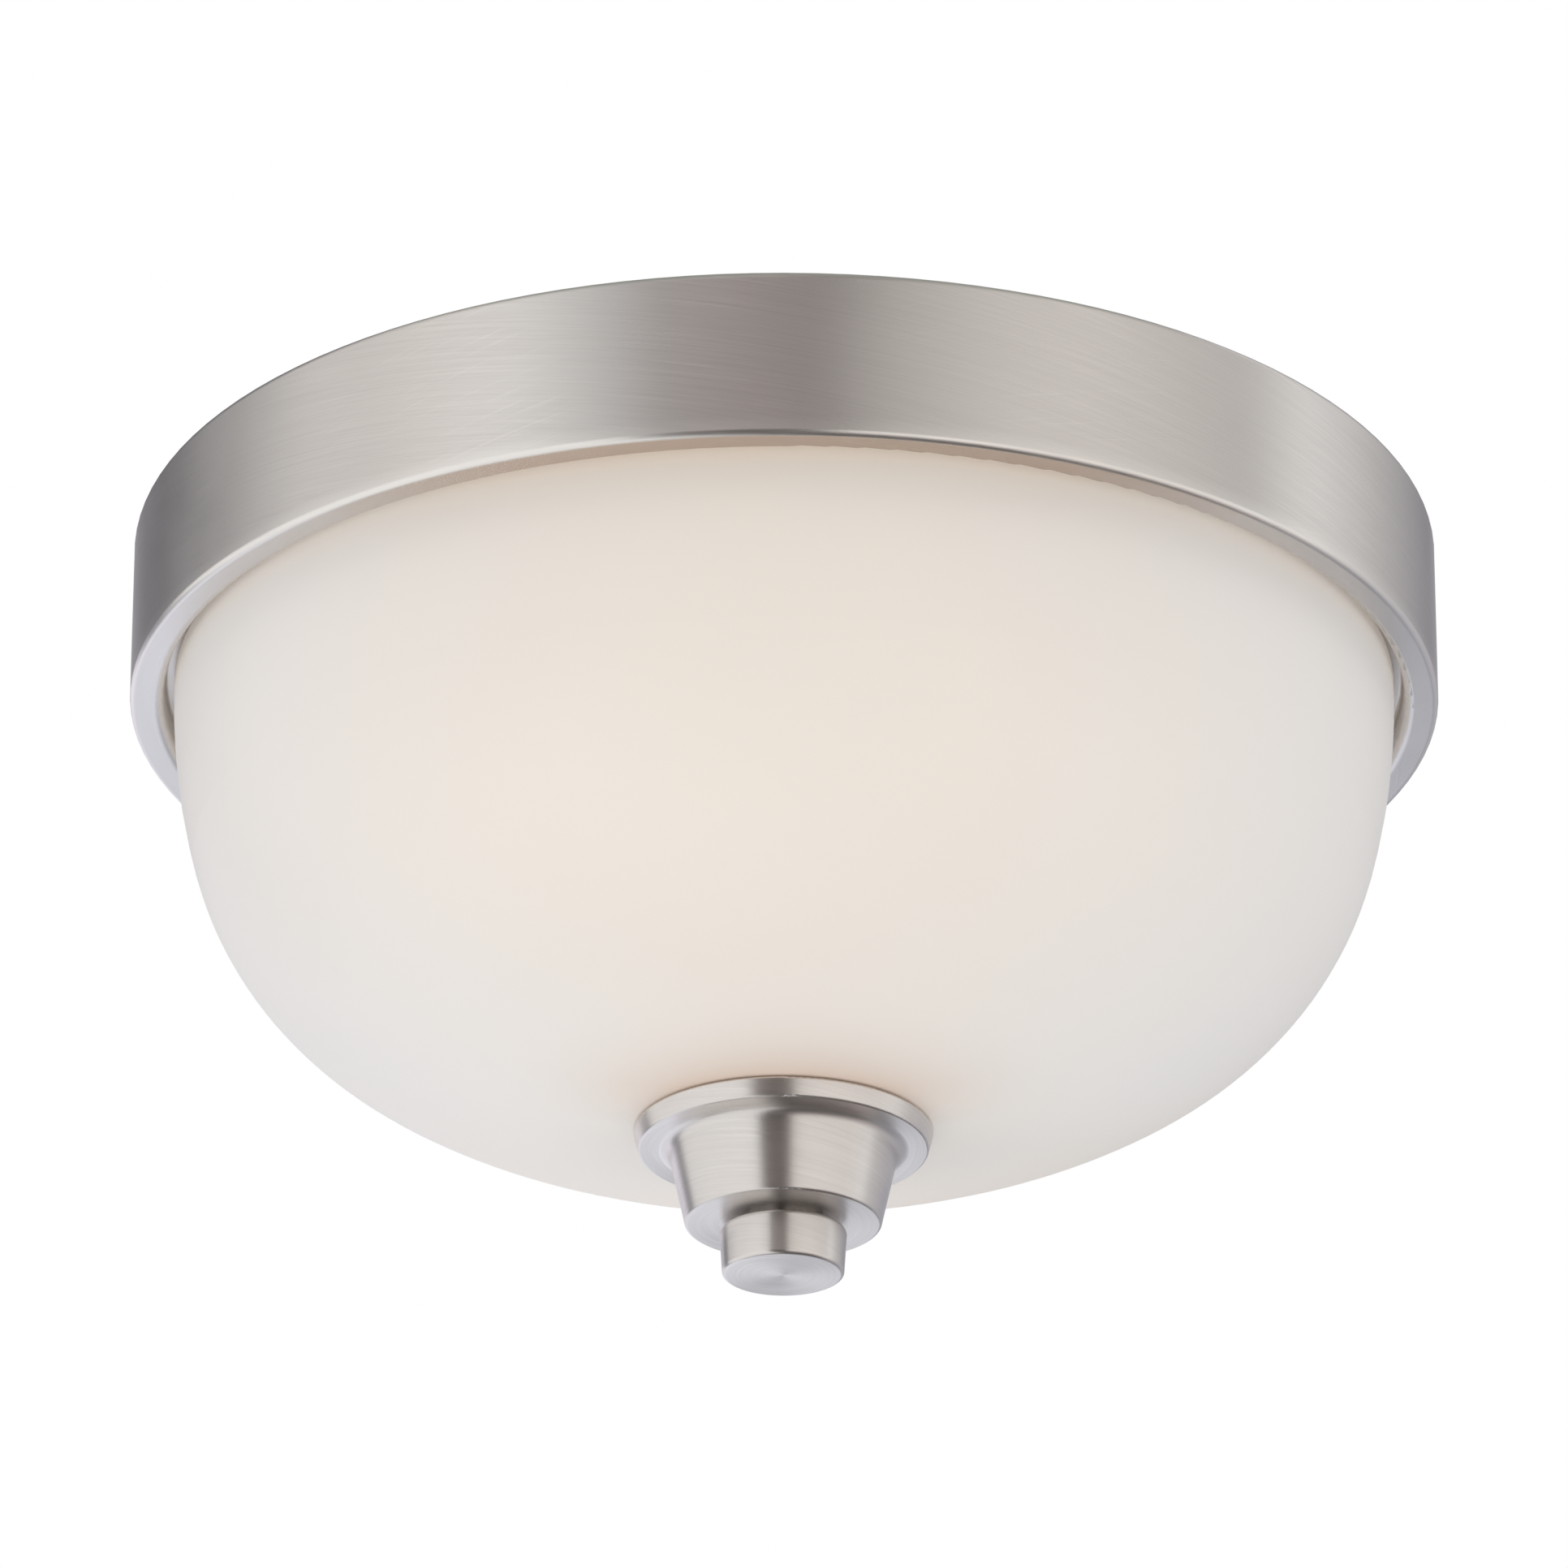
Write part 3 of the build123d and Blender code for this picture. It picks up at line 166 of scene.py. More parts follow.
def brushed(tree):
    """Satin plate with fine lines round the axis, a few cross scratches and clouded plating, a painted
    highlight along the skirt's lower edge and a painted brown reflection of the glass on the front of the
    plain plate.
    """
    x, y, z, radius = coordinates(tree)
    across = maths(tree, "ADD", maths(tree, "ADD", z, radius), maths(tree, "MULTIPLY", x, BRUSH_LEAN))
    along = add(tree, "ShaderNodeCombineXYZ", {0: x, 1: y, 2: across}).outputs[0]
    fine = grain(tree, 1.0, 4.0, 0.65, stretched(tree, FINE_LINES, along))
    broad = grain(tree, 1.0, 2.0, 0.5, stretched(tree, BROAD_LINES, along))
    lines = maths(tree, "ADD", maths(tree, "MULTIPLY", fine, 0.7), maths(tree, "MULTIPLY", broad, 0.3))
    clouds = grain(tree, 30.0, 2.0)

    turned = add(tree, "ShaderNodeVectorRotate", {0: place(tree), "Angle": SCRATCH_ANGLE},
                 rotation_type="Y_AXIS").outputs[0]
    scratch = grain(tree, 1.0, 2.0, 0.5, stretched(tree, SCRATCH_LINES, turned))
    scratch = rising(tree, scratch, (0.60, 0.72))
    scratch = maths(tree, "MULTIPLY", scratch, rising(tree, grain(tree, 14.0, 1.0), (0.45, 0.62)))

    colour = tint(tree, spread(tree, lines, 0, 1), *NICKEL)
    colour = tint(tree, maths(tree, "MULTIPLY", scratch, 0.35), colour, SCRATCHED)
    on_pan = rising(tree, z, PAN_LEVELS)
    # Painted highlight: a paler colour along the skirt's lower edge.
    edge = maths(tree, "MULTIPLY", falling(tree, z, EDGE_HIGHLIGHT_LEVELS), on_pan)
    colour = tint(tree, maths(tree, "MULTIPLY", edge, EDGE_HIGHLIGHT_STRENGTH), colour, EDGE_HIGHLIGHT_COLOUR)

    plain = maths(tree, "MULTIPLY", falling(tree, radius, PLAIN_RADII), on_pan)
    # On the front the plain plate takes a painted brown reflection of the glass, with bright pits that fade
    # towards +x.
    front = falling(tree, y, REFLECTION_FRONT)
    pits = rising(tree, grain(tree, 2300.0, 2.0), (0.58, 0.66))
    pits = maths(tree, "MULTIPLY", pits, maths(tree, "MULTIPLY", falling(tree, x, PITTED_SIDE), front))
    painted_reflection = tint(tree, pits, tint(tree, clouds, *GLASS_REFLECTION_BROWNS), PIT_COLOUR)
    colour = tint(tree, plain, colour, tint(tree, front, tint(tree, clouds, *SILVER_PLATE), painted_reflection))

    rough = maths(tree, "ADD", spread(tree, lines, 0.36, 0.26), spread(tree, clouds, -0.02, 0.03))
    relief = bump(tree, scratch, 0.00002, 0.5, bump(tree, lines, 0.00003, 0.35))
    tangent = add(tree, "ShaderNodeTangent", direction_type="RADIAL", axis="Z").outputs[0]
    return {"Base Color": colour, "Roughness": rough, "Normal": relief, "Tangent": tangent}


# ---------------------------------------------------------------- opal glass
GLOW_REACH = (0.05, 0.16)                # distances from a lamp's hot spot between which the glow fades
GLOW_LIGHT = 0.03                        # painted light: emission of the glass in the lamps' glow
OPAL_LIGHT = 0.022                       # painted light everywhere
LIP_LIGHT = 0.15                         # and painted light just under the pan's flange, which lifts the shade the pan casts there
LIP_LEVELS = (-0.0540, -0.0425)
FINIAL_SHADE_RADII = (0.0375, 0.080)             # radii between which a painted shade darkens the glass towards the finial
FINIAL_SHADE_FRONT = (-0.028, -0.002)            # it does so on the front, y between these
BOTTOM_LEVELS = (-0.150, -0.115)         # below these the glass is paler
OPAL_COOL = (0.78, 0.757, 0.737), (0.80, 0.773, 0.753)
OPAL_BOTTOM = (0.80, 0.785, 0.775)
# Colour of the painted lamp light in the glass.
OPAL_LAMPLIT_WARM = (0.80, 0.735, 0.67)
# Colour of the painted shade on the glass round the finial.
OPAL_FINIAL_SHADE = (0.72, 0.59, 0.50)


def opal(tree):
    """Etched opal glass with painted lamp light: warm and glowing where the lamps shine on it and cooler away
    from them, with painted light under the pan's flange and painted shade round the finial on the front.
    """
    # Painted pools of lamp light round a hot spot near each lamp: a warmer colour and emission.
    glow = None
    for side in ("front", "rear"):
        low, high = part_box("bulb_globe_" + side)
        lamp = (low + high) / 2
        hot_spot = (0.2 * lamp.x, 2.9 * lamp.y, lamp.z - 0.02)
        away = add(tree, "ShaderNodeVectorMath", {0: place(tree), 1: hot_spot}, operation="DISTANCE")
        near = falling(tree, away.outputs["Value"], GLOW_REACH)
        glow = near if glow is None else maths(tree, "ADD", glow, near)
    glow = rising(tree, glow, (0.0, 1.0))
    glow = maths(tree, "ADD", glow, spread(tree, grain(tree, 18.0, 2.0), -0.08, 0.08))

    y, z, radius = coordinates(tree)[1:]
    # Painted shade on the glass round the finial, on the front only.
    finial_shade = maths(tree, "POWER", falling(tree, radius, FINIAL_SHADE_RADII), 2.6)
    finial_shade = maths(tree, "MULTIPLY", finial_shade, falling(tree, y, FINIAL_SHADE_FRONT))
    cool = tint(tree, grain(tree, 45.0, 3.0), *OPAL_COOL)
    cool = tint(tree, falling(tree, z, BOTTOM_LEVELS), cool, OPAL_BOTTOM)
    colour = tint(tree, finial_shade, tint(tree, glow, cool, OPAL_LAMPLIT_WARM), OPAL_FINIAL_SHADE)

    # Painted light just under the pan's flange.
    lip = maths(tree, "MULTIPLY", maths(tree, "POWER", rising(tree, z, LIP_LEVELS), 2.5), LIP_LIGHT)
    light = maths(tree, "ADD", maths(tree, "MULTIPLY", glow, GLOW_LIGHT), maths(tree, "ADD", lip, OPAL_LIGHT))
    frost = grain(tree, 2600.0, 2.0)
    relief = bump(tree, grain(tree, 22.0, 2.0), 0.0006, 0.25, bump(tree, frost, 0.00002, 0.4))
    return {"Base Color": colour, "Normal": relief,
            "Roughness": spread(tree, frost, 0.38, 0.5),
            "Emission Color": tint(tree, glow, (1.0, 0.90, 0.78), (1.0, 0.84, 0.63)),
            "Emission Strength": light}


# ---------------------------------------------------------------- other materials
def zinc(tree):
    """Bright zinc plate: spangled, with a faint blue and straw tint."""
    spangle = grain(tree, 420.0, 3.0)
    clouds = grain(tree, 60.0, 2.0)
    colour = tint(tree, spread(tree, clouds, 0, 1), (0.62, 0.645, 0.68), (0.74, 0.72, 0.66))
    return {"Base Color": colour, "Roughness": spread(tree, spangle, 0.22, 0.42),
            "Normal": bump(tree, spangle, 0.00003, 0.5)}


def metal(first, second, scale, rough=(0.25, 0.42)):
    """Tree builder for a plain metal with handling marks."""
    def build(tree):
        marks = grain(tree, scale, 4.0)
        return {"Base Color": tint(tree, spread(tree, marks, 0, 1), first, second),
                "Roughness": spread(tree, grain(tree, scale * 4, 2.0), *rough),
                "Normal": bump(tree, grain(tree, scale * 5, 2.0), 0.00003, 0.4)}
    return build


def moulded(first, second, scale, rough=(0.4, 0.55)):
    """Tree builder for plastic, rubber or wire insulation."""
    def build(tree):
        return {"Base Color": tint(tree, spread(tree, grain(tree, scale, 3.0), 0, 1), first, second),
                "Roughness": spread(tree, grain(tree, scale * 6, 2.0), *rough),
                "Normal": bump(tree, grain(tree, scale * 12, 2.0), 0.00004, 0.4)}
    return build


def glaze(tree):
    """White porcelain glaze with pinholes and a slight orange peel."""
    specks = spread(tree, grain(tree, 900.0, 1.0), 0, 1, 0.72, 0.78)
    colour = tint(tree, specks, (0.80, 0.785, 0.74), (0.45, 0.40, 0.33))
    return {"Base Color": colour, "Roughness": spread(tree, grain(tree, 120.0), 0.10, 0.2),
            "Normal": bump(tree, grain(tree, 160.0, 2.0), 0.0002, 0.3)}


def lamp_coat(tree):
    """Soft white lamp, lit."""
    mottle = grain(tree, 55.0, 3.0)
    return {"Base Color": tint(tree, mottle, (0.80, 0.77, 0.70), (0.84, 0.81, 0.75)),
            "Roughness": spread(tree, mottle, 0.16, 0.24),
            "Emission Color": tint(tree, mottle, (1.0, 0.80, 0.52), (1.0, 0.84, 0.60))}


def fibre(tree):
    """Matted glass fibre: pale yellow with stray strands, darker in the hollows of its relief, which is
    painted shade.
    """
    swirl = add(tree, "ShaderNodeTexNoise", {"Vector": place(tree), "Scale": 40.0, "Detail": 2.0}).outputs[1]
    warped = add(tree, "ShaderNodeVectorMath", {0: stretched(tree, (1, 1, 3)), 1: swirl},
                 operation="ADD").outputs[0]
    strands = add(tree, "ShaderNodeTexWave", {"Vector": warped, "Scale": 90.0, "Distortion": 16.0,
                                              "Detail": 4.0, "Detail Scale": 3.0}).outputs[1]
    tufts = grain(tree, 70.0, 5.0, 0.6)
    # One level gives both the relief and the colour, so the hollows are darker: painted shade.
    level = maths(tree, "ADD", maths(tree, "MULTIPLY", strands, 0.45), maths(tree, "MULTIPLY", tufts, 0.55))
    return {"Base Color": tint(tree, spread(tree, level, 0, 1), (0.52, 0.45, 0.24), (0.88, 0.83, 0.63)),
            "Normal": bump(tree, level, 0.0016, 0.9)}


# name: tree builder, values that are the same all over
FINISHES = {
    "brushed_nickel": (brushed, dict(Metallic=1.0, Anisotropic=0.75, Anisotropic_Rotation=0.25)),
    "opal_glass": (opal, dict(IOR=1.5, Specular_IOR_Level=0.35)),
    "zinc_plated_steel": (zinc, dict(Metallic=1.0)),
    "green_screw": (metal((0.03, 0.20, 0.06), (0.05, 0.30, 0.10), 300), dict(Metallic=0.6)),
    "copper": (metal((0.58, 0.26, 0.13), (0.80, 0.42, 0.26), 260), dict(Metallic=1.0)),
    "brass": (metal((0.60, 0.42, 0.16), (0.80, 0.60, 0.28), 200), dict(Metallic=1.0)),
    "lamp_cap": (metal((0.66, 0.66, 0.65), (0.80, 0.80, 0.79), 240), dict(Metallic=1.0)),
    "solder": (metal((0.40, 0.40, 0.39), (0.62, 0.62, 0.60), 500, (0.3, 0.5)), dict(Metallic=1.0)),
    "rubber": (moulded((0.018, 0.018, 0.018), (0.035, 0.034, 0.033), 200, (0.6, 0.8)), {}),
    "white_foam": (moulded((0.66, 0.66, 0.63), (0.76, 0.76, 0.73), 300, (0.7, 0.85)), {}),
    "porcelain": (glaze, dict(Coat_Weight=0.5, Coat_Roughness=0.06)),
    "lamp_glass": (lamp_coat, dict(Emission_Strength=0.45)),
    "black_glass": (moulded((0.012, 0.012, 0.016), (0.03, 0.03, 0.035), 150, (0.08, 0.2)), {}),
    "bushing_plastic": (moulded((0.66, 0.66, 0.60), (0.74, 0.74, 0.69), 120), {}),
    "black_wire": (moulded((0.014, 0.014, 0.015), (0.03, 0.03, 0.03), 160, (0.35, 0.5)), {}),
    "white_wire": (moulded((0.66, 0.66, 0.64), (0.76, 0.76, 0.74), 160, (0.35, 0.5)), {}),
    "connector_plastic": (moulded((0.74, 0.22, 0.025), (0.82, 0.28, 0.04), 90, (0.35, 0.5)), {}),
    "glass_fibre": (fibre, dict(Roughness=0.95, Sheen_Weight=0.3)),
}
materials = {name: material(name, build, **constants) for name, (build, constants) in FINISHES.items()}
node_slot = {row["node"]: row["material_slot"] for row in frame["record"]["subparts"]}
for name, obj in nodes.items():
    obj.data.materials.clear()
    obj.data.materials.append(materials[node_slot[name]])


# ---------------------------------------------------------------- mesh pieces
def body_with(node):
    """Name of the CAD body that a node belongs to."""
    bodies = frame["record"]["behaviour"]["bodies"]
    return next(body for body, members in bodies.items() if node in members)


def finish_piece(mesh, name, node, smooth_angle=30):
    """Object from a bmesh that stands for a CAD node, with its finish, on its body."""
    bmesh.ops.recalc_face_normals(mesh, faces=mesh.faces)
    data = bpy.data.meshes.new(name)
    mesh.to_mesh(data)
    mesh.free()
    data.shade_smooth()
    data.set_sharp_from_angle(angle=radians(smooth_angle))
    data.materials.append(materials[node_slot[node]])
    obj = bpy.data.objects.new(name, data)
    bpy.context.scene.collection.objects.link(obj)
    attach(obj, body_with(node))
    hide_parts(node)
    return obj


def circle(mesh, radius, z, segments):
    """Vertices round the Z axis."""
    turns = [2 * pi * i / segments for i in range(segments)]
    return [mesh.verts.new((radius * cos(t), radius * sin(t), z)) for t in turns]


def bridge(mesh, first, second):
    """Quads between two closed rows of vertices."""
    for i in range(len(first)):
        j = (i + 1) % len(first)
        mesh.faces.new((first[i], first[j], second[j], second[i]))


PAD_WIDTH = 66 * MM                      # across the ring, as in CAD
PAD_AROUND, PAD_ACROSS = 240, 44         # vertices round the ring and round its section
LUMPS = ((45, 0.9), (140, 0.5), (420, 0.25))    # scale and height of each layer of noise
LUMP_DEPTH = 0.9 * MM


def insulation():
    """Lofty ring of fibre, lumpy from a seeded noise, inside the CAD ring's box."""
    low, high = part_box("insulation_pad")
    middle = high.x - PAD_WIDTH / 2
    mesh = bmesh.new()
    rows = []
    for i in range(PAD_AROUND):
        turn = 2 * pi * i / PAD_AROUND
        row = []
        for j in range(PAD_ACROSS):
            phase = 2 * pi * j / PAD_ACROSS
            u, w = cos(phase), sin(phase)
            wide = abs(u) ** 0.45 * (1 if u > 0 else -1)      # a rounded oblong, from -1 to 1
            tall = abs(w) ** 0.55 * (1 if w > 0 else -1)
            r = middle + wide * PAD_WIDTH / 2
            z = (low.z + high.z) / 2 + tall * (high.z - low.z) / 2
            point = Vector((r * cos(turn), r * sin(turn), z))
            lump = sum(noise.noise(point * scale) * height for scale, height in LUMPS)
            inset = (0.9 - lump) * LUMP_DEPTH
            r -= wide * inset * 1.4
            z -= tall * inset * (1.8 if w > 0 else 0.3)       # flat below, where it lies on the plate
            row.append(mesh.verts.new((r * cos(turn), r * sin(turn), z)))
        rows.append(row)
    for i in range(PAD_AROUND):
        bridge(mesh, rows[i], rows[(i + 1) % PAD_AROUND])
    return finish_piece(mesh, "fibre_pad", "insulation_pad", 60)


def threaded(mesh, x, radius, depth, pitch, low, high, segments, bore=0.0):
    """Right-hand thread between two levels, closed at its ends, with a bore if there is one."""
    part = bmesh.new()
    turns = int((high - low) / pitch) + 3
    start = low - pitch
    rows = []
    for j in range(2 * turns + 1):
        r = radius - (depth if j % 2 else 0)
        rows.append([part.verts.new((r * cos(2 * pi * i / segments), r * sin(2 * pi * i / segments),
                                     start + (j / 2 + i / segments) * pitch)) for i in range(segments)])
    for j in range(2 * turns):
        a, b = rows[j], rows[j + 1]
        for i in range(segments - 1):
            part.faces.new((a[i], a[i + 1], b[i + 1], b[i]))
        if j + 3 <= 2 * turns:
            part.faces.new((a[-1], rows[j + 2][0], rows[j + 3][0], b[-1]))
    circles = []
    for level, side in ((low, -1), (high, 1)):
        cut = bmesh.ops.bisect_plane(part, geom=part.verts[:] + part.edges[:] + part.faces[:], dist=1e-7,
                                     plane_co=(0, 0, level), plane_no=(0, 0, side), clear_outer=True)
        edges = [e for e in cut["geom_cut"] if isinstance(e, bmesh.types.BMEdge)]
        if bore:
            inside = circle(part, bore, level, segments)
            circles.append(inside)
            edges += [part.edges.new((inside[i], inside[(i + 1) % segments])) for i in range(segments)]
            bmesh.ops.bridge_loops(part, edges=edges)
        else:
            bmesh.ops.contextual_create(part, geom=edges)
    if bore:
        bridge(part, *circles)
    bmesh.ops.translate(part, verts=part.verts, vec=(x, 0, 0))
    data = bpy.data.meshes.new("part")
    part.to_mesh(data)
    part.free()
    mesh.from_mesh(data)
    bpy.data.meshes.remove(data)


ROD_THREAD_DEPTH, ROD_PITCH, ROD_BORE = 0.5 * MM, INCH / 27, 3.3 * MM


def hanger_rod():
    """Hollow lamp pipe, threaded all along."""
    low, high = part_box("hanger_rod")
    mesh = bmesh.new()
    threaded(mesh, 0, high.x, ROD_THREAD_DEPTH, ROD_PITCH, low.z, high.z, 32, ROD_BORE)
    return finish_piece(mesh, "threaded_rod", "hanger_rod", 20)


SCREW_RADIUS, SCREW_THREAD_DEPTH, SCREW_PITCH = 2.08 * MM, 0.35 * MM, INCH / 32
HEAD_HEIGHT, HEAD_EDGE = 2.6 * MM, 1.3 * MM
HEAD_OVERLAP = 0.4 * MM                  # the thread starts this far inside the head
SLOT_DEPTH, SLOT_WIDTH = 1.3 * MM, 1.1 * MM


def slotted_head(mesh, x, radius, low):
    """Screw head in two halves with a rounded lower edge, and a slot along X between them."""
    count = 20

    def arc(r, z, start):
        first = asin(SLOT_WIDTH / 2 / r)
        turns = [start + first + (pi - 2 * first) * i / count for i in range(count + 1)]
        return [mesh.verts.new((x + r * cos(t), r * sin(t), z)) for t in turns]

    bends = [(radius - HEAD_EDGE * (1 - cos(radians(t))), low + HEAD_EDGE * (1 - sin(radians(t))))
             for t in range(0, 91, 15)]
    profile = [(radius, low + HEAD_HEIGHT), (radius, low + SLOT_DEPTH)] + bends
    halves = [[arc(r, z, start) for r, z in profile] for start in (0, pi)]
    for rows, other in (halves, halves[::-1]):
        for upper, lower in zip(rows, rows[1:]):
            for i in range(count):
                mesh.faces.new((upper[i], upper[i + 1], lower[i + 1], lower[i]))
        mesh.faces.new(rows[-1])                                                 # this half's face
        mesh.faces.new([row[0] for row in rows[1:]] + [row[-1] for row in rows[:0:-1]])      # slot's wall
        mesh.faces.new((rows[0][-1], other[0][0], other[1][0], rows[1][-1]))     # rim across the slot's end
    mesh.faces.new(halves[0][0] + halves[1][0])                                  # top
    mesh.faces.new((halves[0][1][0], halves[0][1][-1], halves[1][1][0], halves[1][1][-1]))   # slot's floor


def mounting_screws():
    """The two screws that hold the pan to the crossbar."""
    low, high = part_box("pan_mounting_screws")
    head = high.y
    mesh = bmesh.new()
    for side in (-1, 1):
        x = side * (high.x - head)
        threaded(mesh, x, SCREW_RADIUS, SCREW_THREAD_DEPTH, SCREW_PITCH,
                 low.z + HEAD_HEIGHT - HEAD_OVERLAP, high.z, 24)
        slotted_head(mesh, x, head, low.z)
    return finish_piece(mesh, "threaded_screws", "pan_mounting_screws", 25)


insulation()
hanger_rod()
mounting_screws()


# ---------------------------------------------------------------- studio
FLOOR_Z, FLOOR_SIZE = -3.6, 30
FLOOR_LIFT = 0.30                        # light of the floor itself, for the camera and reflections
WORLD_LEVEL = 0.88                       # light of the surroundings on the object


def background_seen(tree):
    """1 for rays that show the background to the camera, else 0."""
    path = add(tree, "ShaderNodeLightPath").outputs
    total = path["Is Camera Ray"]
    for kind in ("Is Glossy Ray", "Is Transmission Ray"):
        total = maths(tree, "MAXIMUM", total, path[kind])
    return total


def make_world():
    """White behind the object, and a plain level of light on it."""
    world = bpy.data.worlds.new("studio")
    world.use_nodes = True
    tree = world.node_tree
    back = tree.nodes["Background"]
    back.inputs["Color"].default_value = (1, 1, 1, 1)
    tree.links.new(spread(tree, background_seen(tree), WORLD_LEVEL, 1.0, 0.0, 1.0), back.inputs["Strength"])
    bpy.context.scene.world = world


def stage_mesh(name, points, faces, made):
    """Mesh that belongs to the studio."""
    data = bpy.data.meshes.new(name)
    data.from_pydata(points, [], faces)
    data.materials.append(made)
    obj = bpy.data.objects.new(name, data)
    bpy.context.scene.collection.objects.link(obj)
    return obj


def make_floor():
    """Pale floor, lit so that it meets the white behind it and still takes a shadow."""
    def build(tree):
        return {"Base Color": tint(tree, grain(tree, 0.6), (0.74, 0.74, 0.74), (0.76, 0.76, 0.76)),
                "Emission Strength": spread(tree, background_seen(tree), 0.0, FLOOR_LIFT, 0.0, 1.0)}
    made = material("pale_floor", build, Roughness=0.9, Emission_Color=(0.93, 0.97, 1.0, 1))
    corners = [(x * FLOOR_SIZE, y * FLOOR_SIZE, FLOOR_Z) for x, y in ((-1, -1), (1, -1), (1, 1), (-1, 1))]
    stage_mesh("floor", corners, [(0, 1, 2, 3)], made)


# Studio wall that only reflections see: soft boxes left and right of the camera, with darker gaps
# between them. Each stop is the angle from the camera, left negative, a brightness and a tint.
# The patterns follow each other from the wall's bottom to its top.
NEUTRAL, WARM, BROWN, COOL = (1.0, 1.0, 1.0), (1.0, 0.97, 0.94), (1.0, 0.91, 0.90), (0.97, 0.96, 1.06)
DARK, BLUE = (1.0, 0.85, 0.83), (0.93, 0.965, 1.06)
WALL_UNDER = [(-180, 0.12, BROWN), (-150, 0.12, BROWN), (-130, 0.85, NEUTRAL), (-30, 0.90, NEUTRAL),
              (-20, 0.08, BROWN), (180, 0.12, BROWN)]
WALL_FOOT = [(-180, 0.96, BLUE), (-174, 1.0, BLUE), (-150, 1.0, BLUE), (-128, 0.60, BLUE),
             (-122, 0.90, NEUTRAL), (-30, 0.90, NEUTRAL), (-20, 0.14, BROWN), (5, 0.14, BROWN),
             (20, 0.40, BROWN), (90, 0.55, BROWN), (110, 0.50, BROWN), (135, 0.28, BLUE),
             (172, 0.34, BLUE), (180, 0.96, BLUE)]
WALL_LOW = [(-180, 0.88, BLUE), (-173, 1.0, BLUE), (-156, 0.80, COOL), (-144, 1.0, COOL), (-135, 0.30, COOL),
            (-125, 0.22, COOL), (-119, 0.88, NEUTRAL), (-50, 0.93, NEUTRAL), (-27, 0.95, NEUTRAL),
            (-20, 0.11, DARK), (5, 0.08, DARK), (11, 0.93, WARM), (30, 0.96, WARM), (70, 0.86, WARM),
            (95, 0.90, NEUTRAL), (108, 0.60, NEUTRAL), (135, 0.48, COOL), (171, 0.42, BLUE),
            (180, 0.88, BLUE)]
WALL_HIGH = [(-180, 0.36, COOL), (-170, 0.46, COOL), (-160, 0.24, COOL), (-142, 0.12, COOL),
             (-120, 0.18, COOL), (-108, 0.33, NEUTRAL), (-100, 0.49, NEUTRAL), (-90, 0.72, WARM),
             (-78, 0.66, WARM), (-62, 0.82, WARM), (-48, 0.87, NEUTRAL), (-30, 0.455, NEUTRAL),
             (-10, 0.54, BROWN), (0, 0.43, BROWN), (9, 0.23, BROWN), (22, 0.41, WARM), (40, 0.65, WARM),
             (55, 0.72, WARM), (75, 0.57, WARM), (90, 0.38, NEUTRAL), (99, 0.94, NEUTRAL),
             (112, 0.77, NEUTRAL), (125, 0.55, NEUTRAL), (145, 0.31, COOL), (153, 0.19, COOL),
             (164, 0.45, COOL), (170, 0.95, COOL), (180, 0.75, COOL)]
WALL_OVER = (0.34, 0.36, 0.33)           # one colour all round
UNDER_BLEND = (-3.54, -3.3)              # levels between which each pattern runs into the next
FOOT_BLEND = (-2.0, -1.3)
HIGH_BLEND = (0.65, 1.0)
OVER_BLEND = (4.3, 4.49)
WALL_RADIUS = 3.0
WALL_HEIGHTS = (-3.55, 4.5)
WALL_SIDES = 120


def ramp(tree, share, stops):
    """Colour by the angle from the camera's side, share being 0 at -180 degrees and 1 at 180."""
    node = add(tree, "ShaderNodeValToRGB", {0: share})
    elements = node.color_ramp.elements
    while len(elements) < len(stops):
        elements.new(0.5)
    for element, (angle, level, shade) in zip(elements, stops):
        element.position = (angle + 180) / 360
        element.color = (*[level * c for c in shade], 1)
    return node.outputs[0]


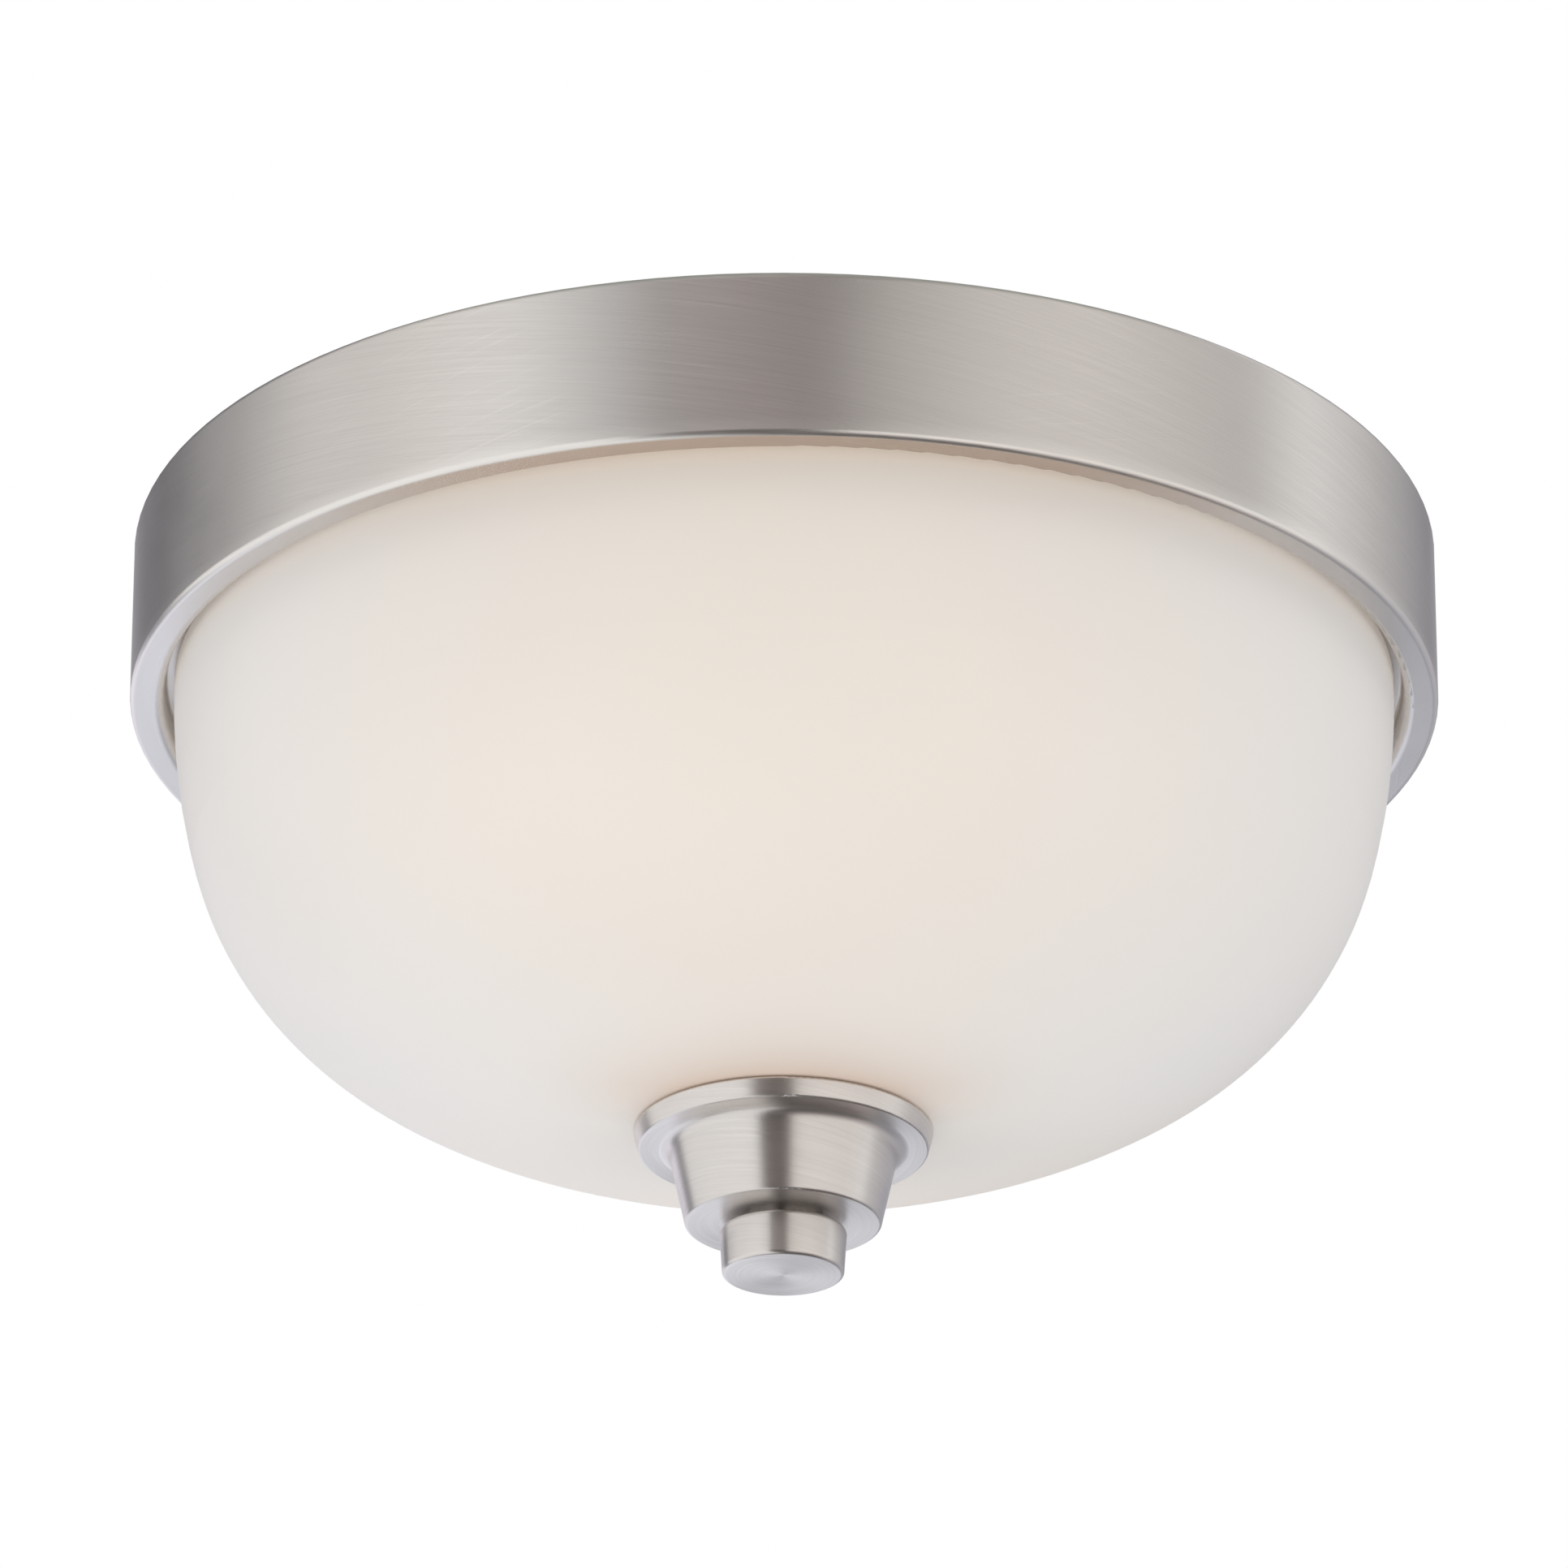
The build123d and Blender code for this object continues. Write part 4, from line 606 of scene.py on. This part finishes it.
def make_wall():
    """The reflected studio: a closed drum round the object."""
    def build(tree):
        x, y, z = coordinates(tree)[:3]
        turn = maths(tree, "ARCTAN2", x, maths(tree, "MULTIPLY", y, -1.0))
        share = rising(tree, turn, (-pi, pi))
        colour = ramp(tree, share, WALL_UNDER)
        for levels, stops in ((UNDER_BLEND, WALL_FOOT), (FOOT_BLEND, WALL_LOW), (HIGH_BLEND, WALL_HIGH)):
            colour = tint(tree, rising(tree, z, levels), colour, ramp(tree, share, stops))
        return {"Emission Color": tint(tree, rising(tree, z, OVER_BLEND), colour, WALL_OVER)}
    made = material("wall_light", build, Emission_Strength=1.0, Base_Color=(0, 0, 0, 1),
                    Specular_IOR_Level=0.0)
    n = WALL_SIDES
    points = [(WALL_RADIUS * sin(2 * pi * i / n), -WALL_RADIUS * cos(2 * pi * i / n), z)
              for z in WALL_HEIGHTS for i in range(n)]
    faces = [(i, (i + 1) % n, n + (i + 1) % n, n + i) for i in range(n)]
    faces += [tuple(range(n)), tuple(range(n, 2 * n))]
    wall = stage_mesh("studio_wall", points, faces, made)
    wall.visible_camera = wall.visible_diffuse = wall.visible_shadow = False
    wall.visible_transmission = wall.visible_volume_scatter = False


LIGHTS_CENTRE = Vector((0, 0, -0.1))
# name: azimuth (0 is the camera's side, left negative), elevation, distance, side lengths, watts
SOFT_BOXES = {
    "key": (-60, -35, 2.6, (1.4, 1.2), 12),
    "fill": (60, -35, 2.6, (1.4, 1.2), 9),
    "under": (0, -78, 2.8, (1.4, 1.4), 7),
    "top": (160, 55, 3.0, (1.8, 1.8), 12),
}


def soft_box(name, azimuth, elevation, distance, size, power):
    """White area light towards the object, not seen in reflections."""
    a, e = radians(azimuth), radians(elevation)
    back = Vector((sin(a) * cos(e), -cos(a) * cos(e), sin(e)))
    data = bpy.data.lights.new(name, "AREA")
    data.shape = "RECTANGLE"
    data.size, data.size_y = size
    data.energy = power
    obj = bpy.data.objects.new(name, data)
    obj.location = LIGHTS_CENTRE + back * distance
    obj.rotation_mode = "QUATERNION"
    obj.rotation_quaternion = back.to_track_quat("Z", "Y")
    obj.visible_glossy = False
    bpy.context.scene.collection.objects.link(obj)


make_world()
make_floor()
make_wall()
for name, values in SOFT_BOXES.items():
    soft_box(name, *values)


# ---------------------------------------------------------------- camera
CAMERA_PLACE = (0, -2.2464, -1.0555)     # below and in front of the light, as in the photograph
CAMERA_TILT = radians(113.874)           # 90 degrees is level; it looks up
CAMERA_ROLL = radians(0.1)
CAMERA_LENS, CAMERA_SENSOR = 223.93, 36.0


def make_camera():
    data = bpy.data.cameras.new("camera")
    data.lens = CAMERA_LENS
    data.sensor_width = CAMERA_SENSOR
    data.clip_start, data.clip_end = 0.1, 100
    obj = bpy.data.objects.new("camera", data)
    obj.matrix_world = (Matrix.Translation(CAMERA_PLACE) @ Matrix.Rotation(CAMERA_TILT, 4, "X")
                        @ Matrix.Rotation(CAMERA_ROLL, 4, "Z"))
    bpy.context.scene.collection.objects.link(obj)
    bpy.context.scene.camera = obj


make_camera()
bpy.context.scene.view_settings.view_transform = "Standard"
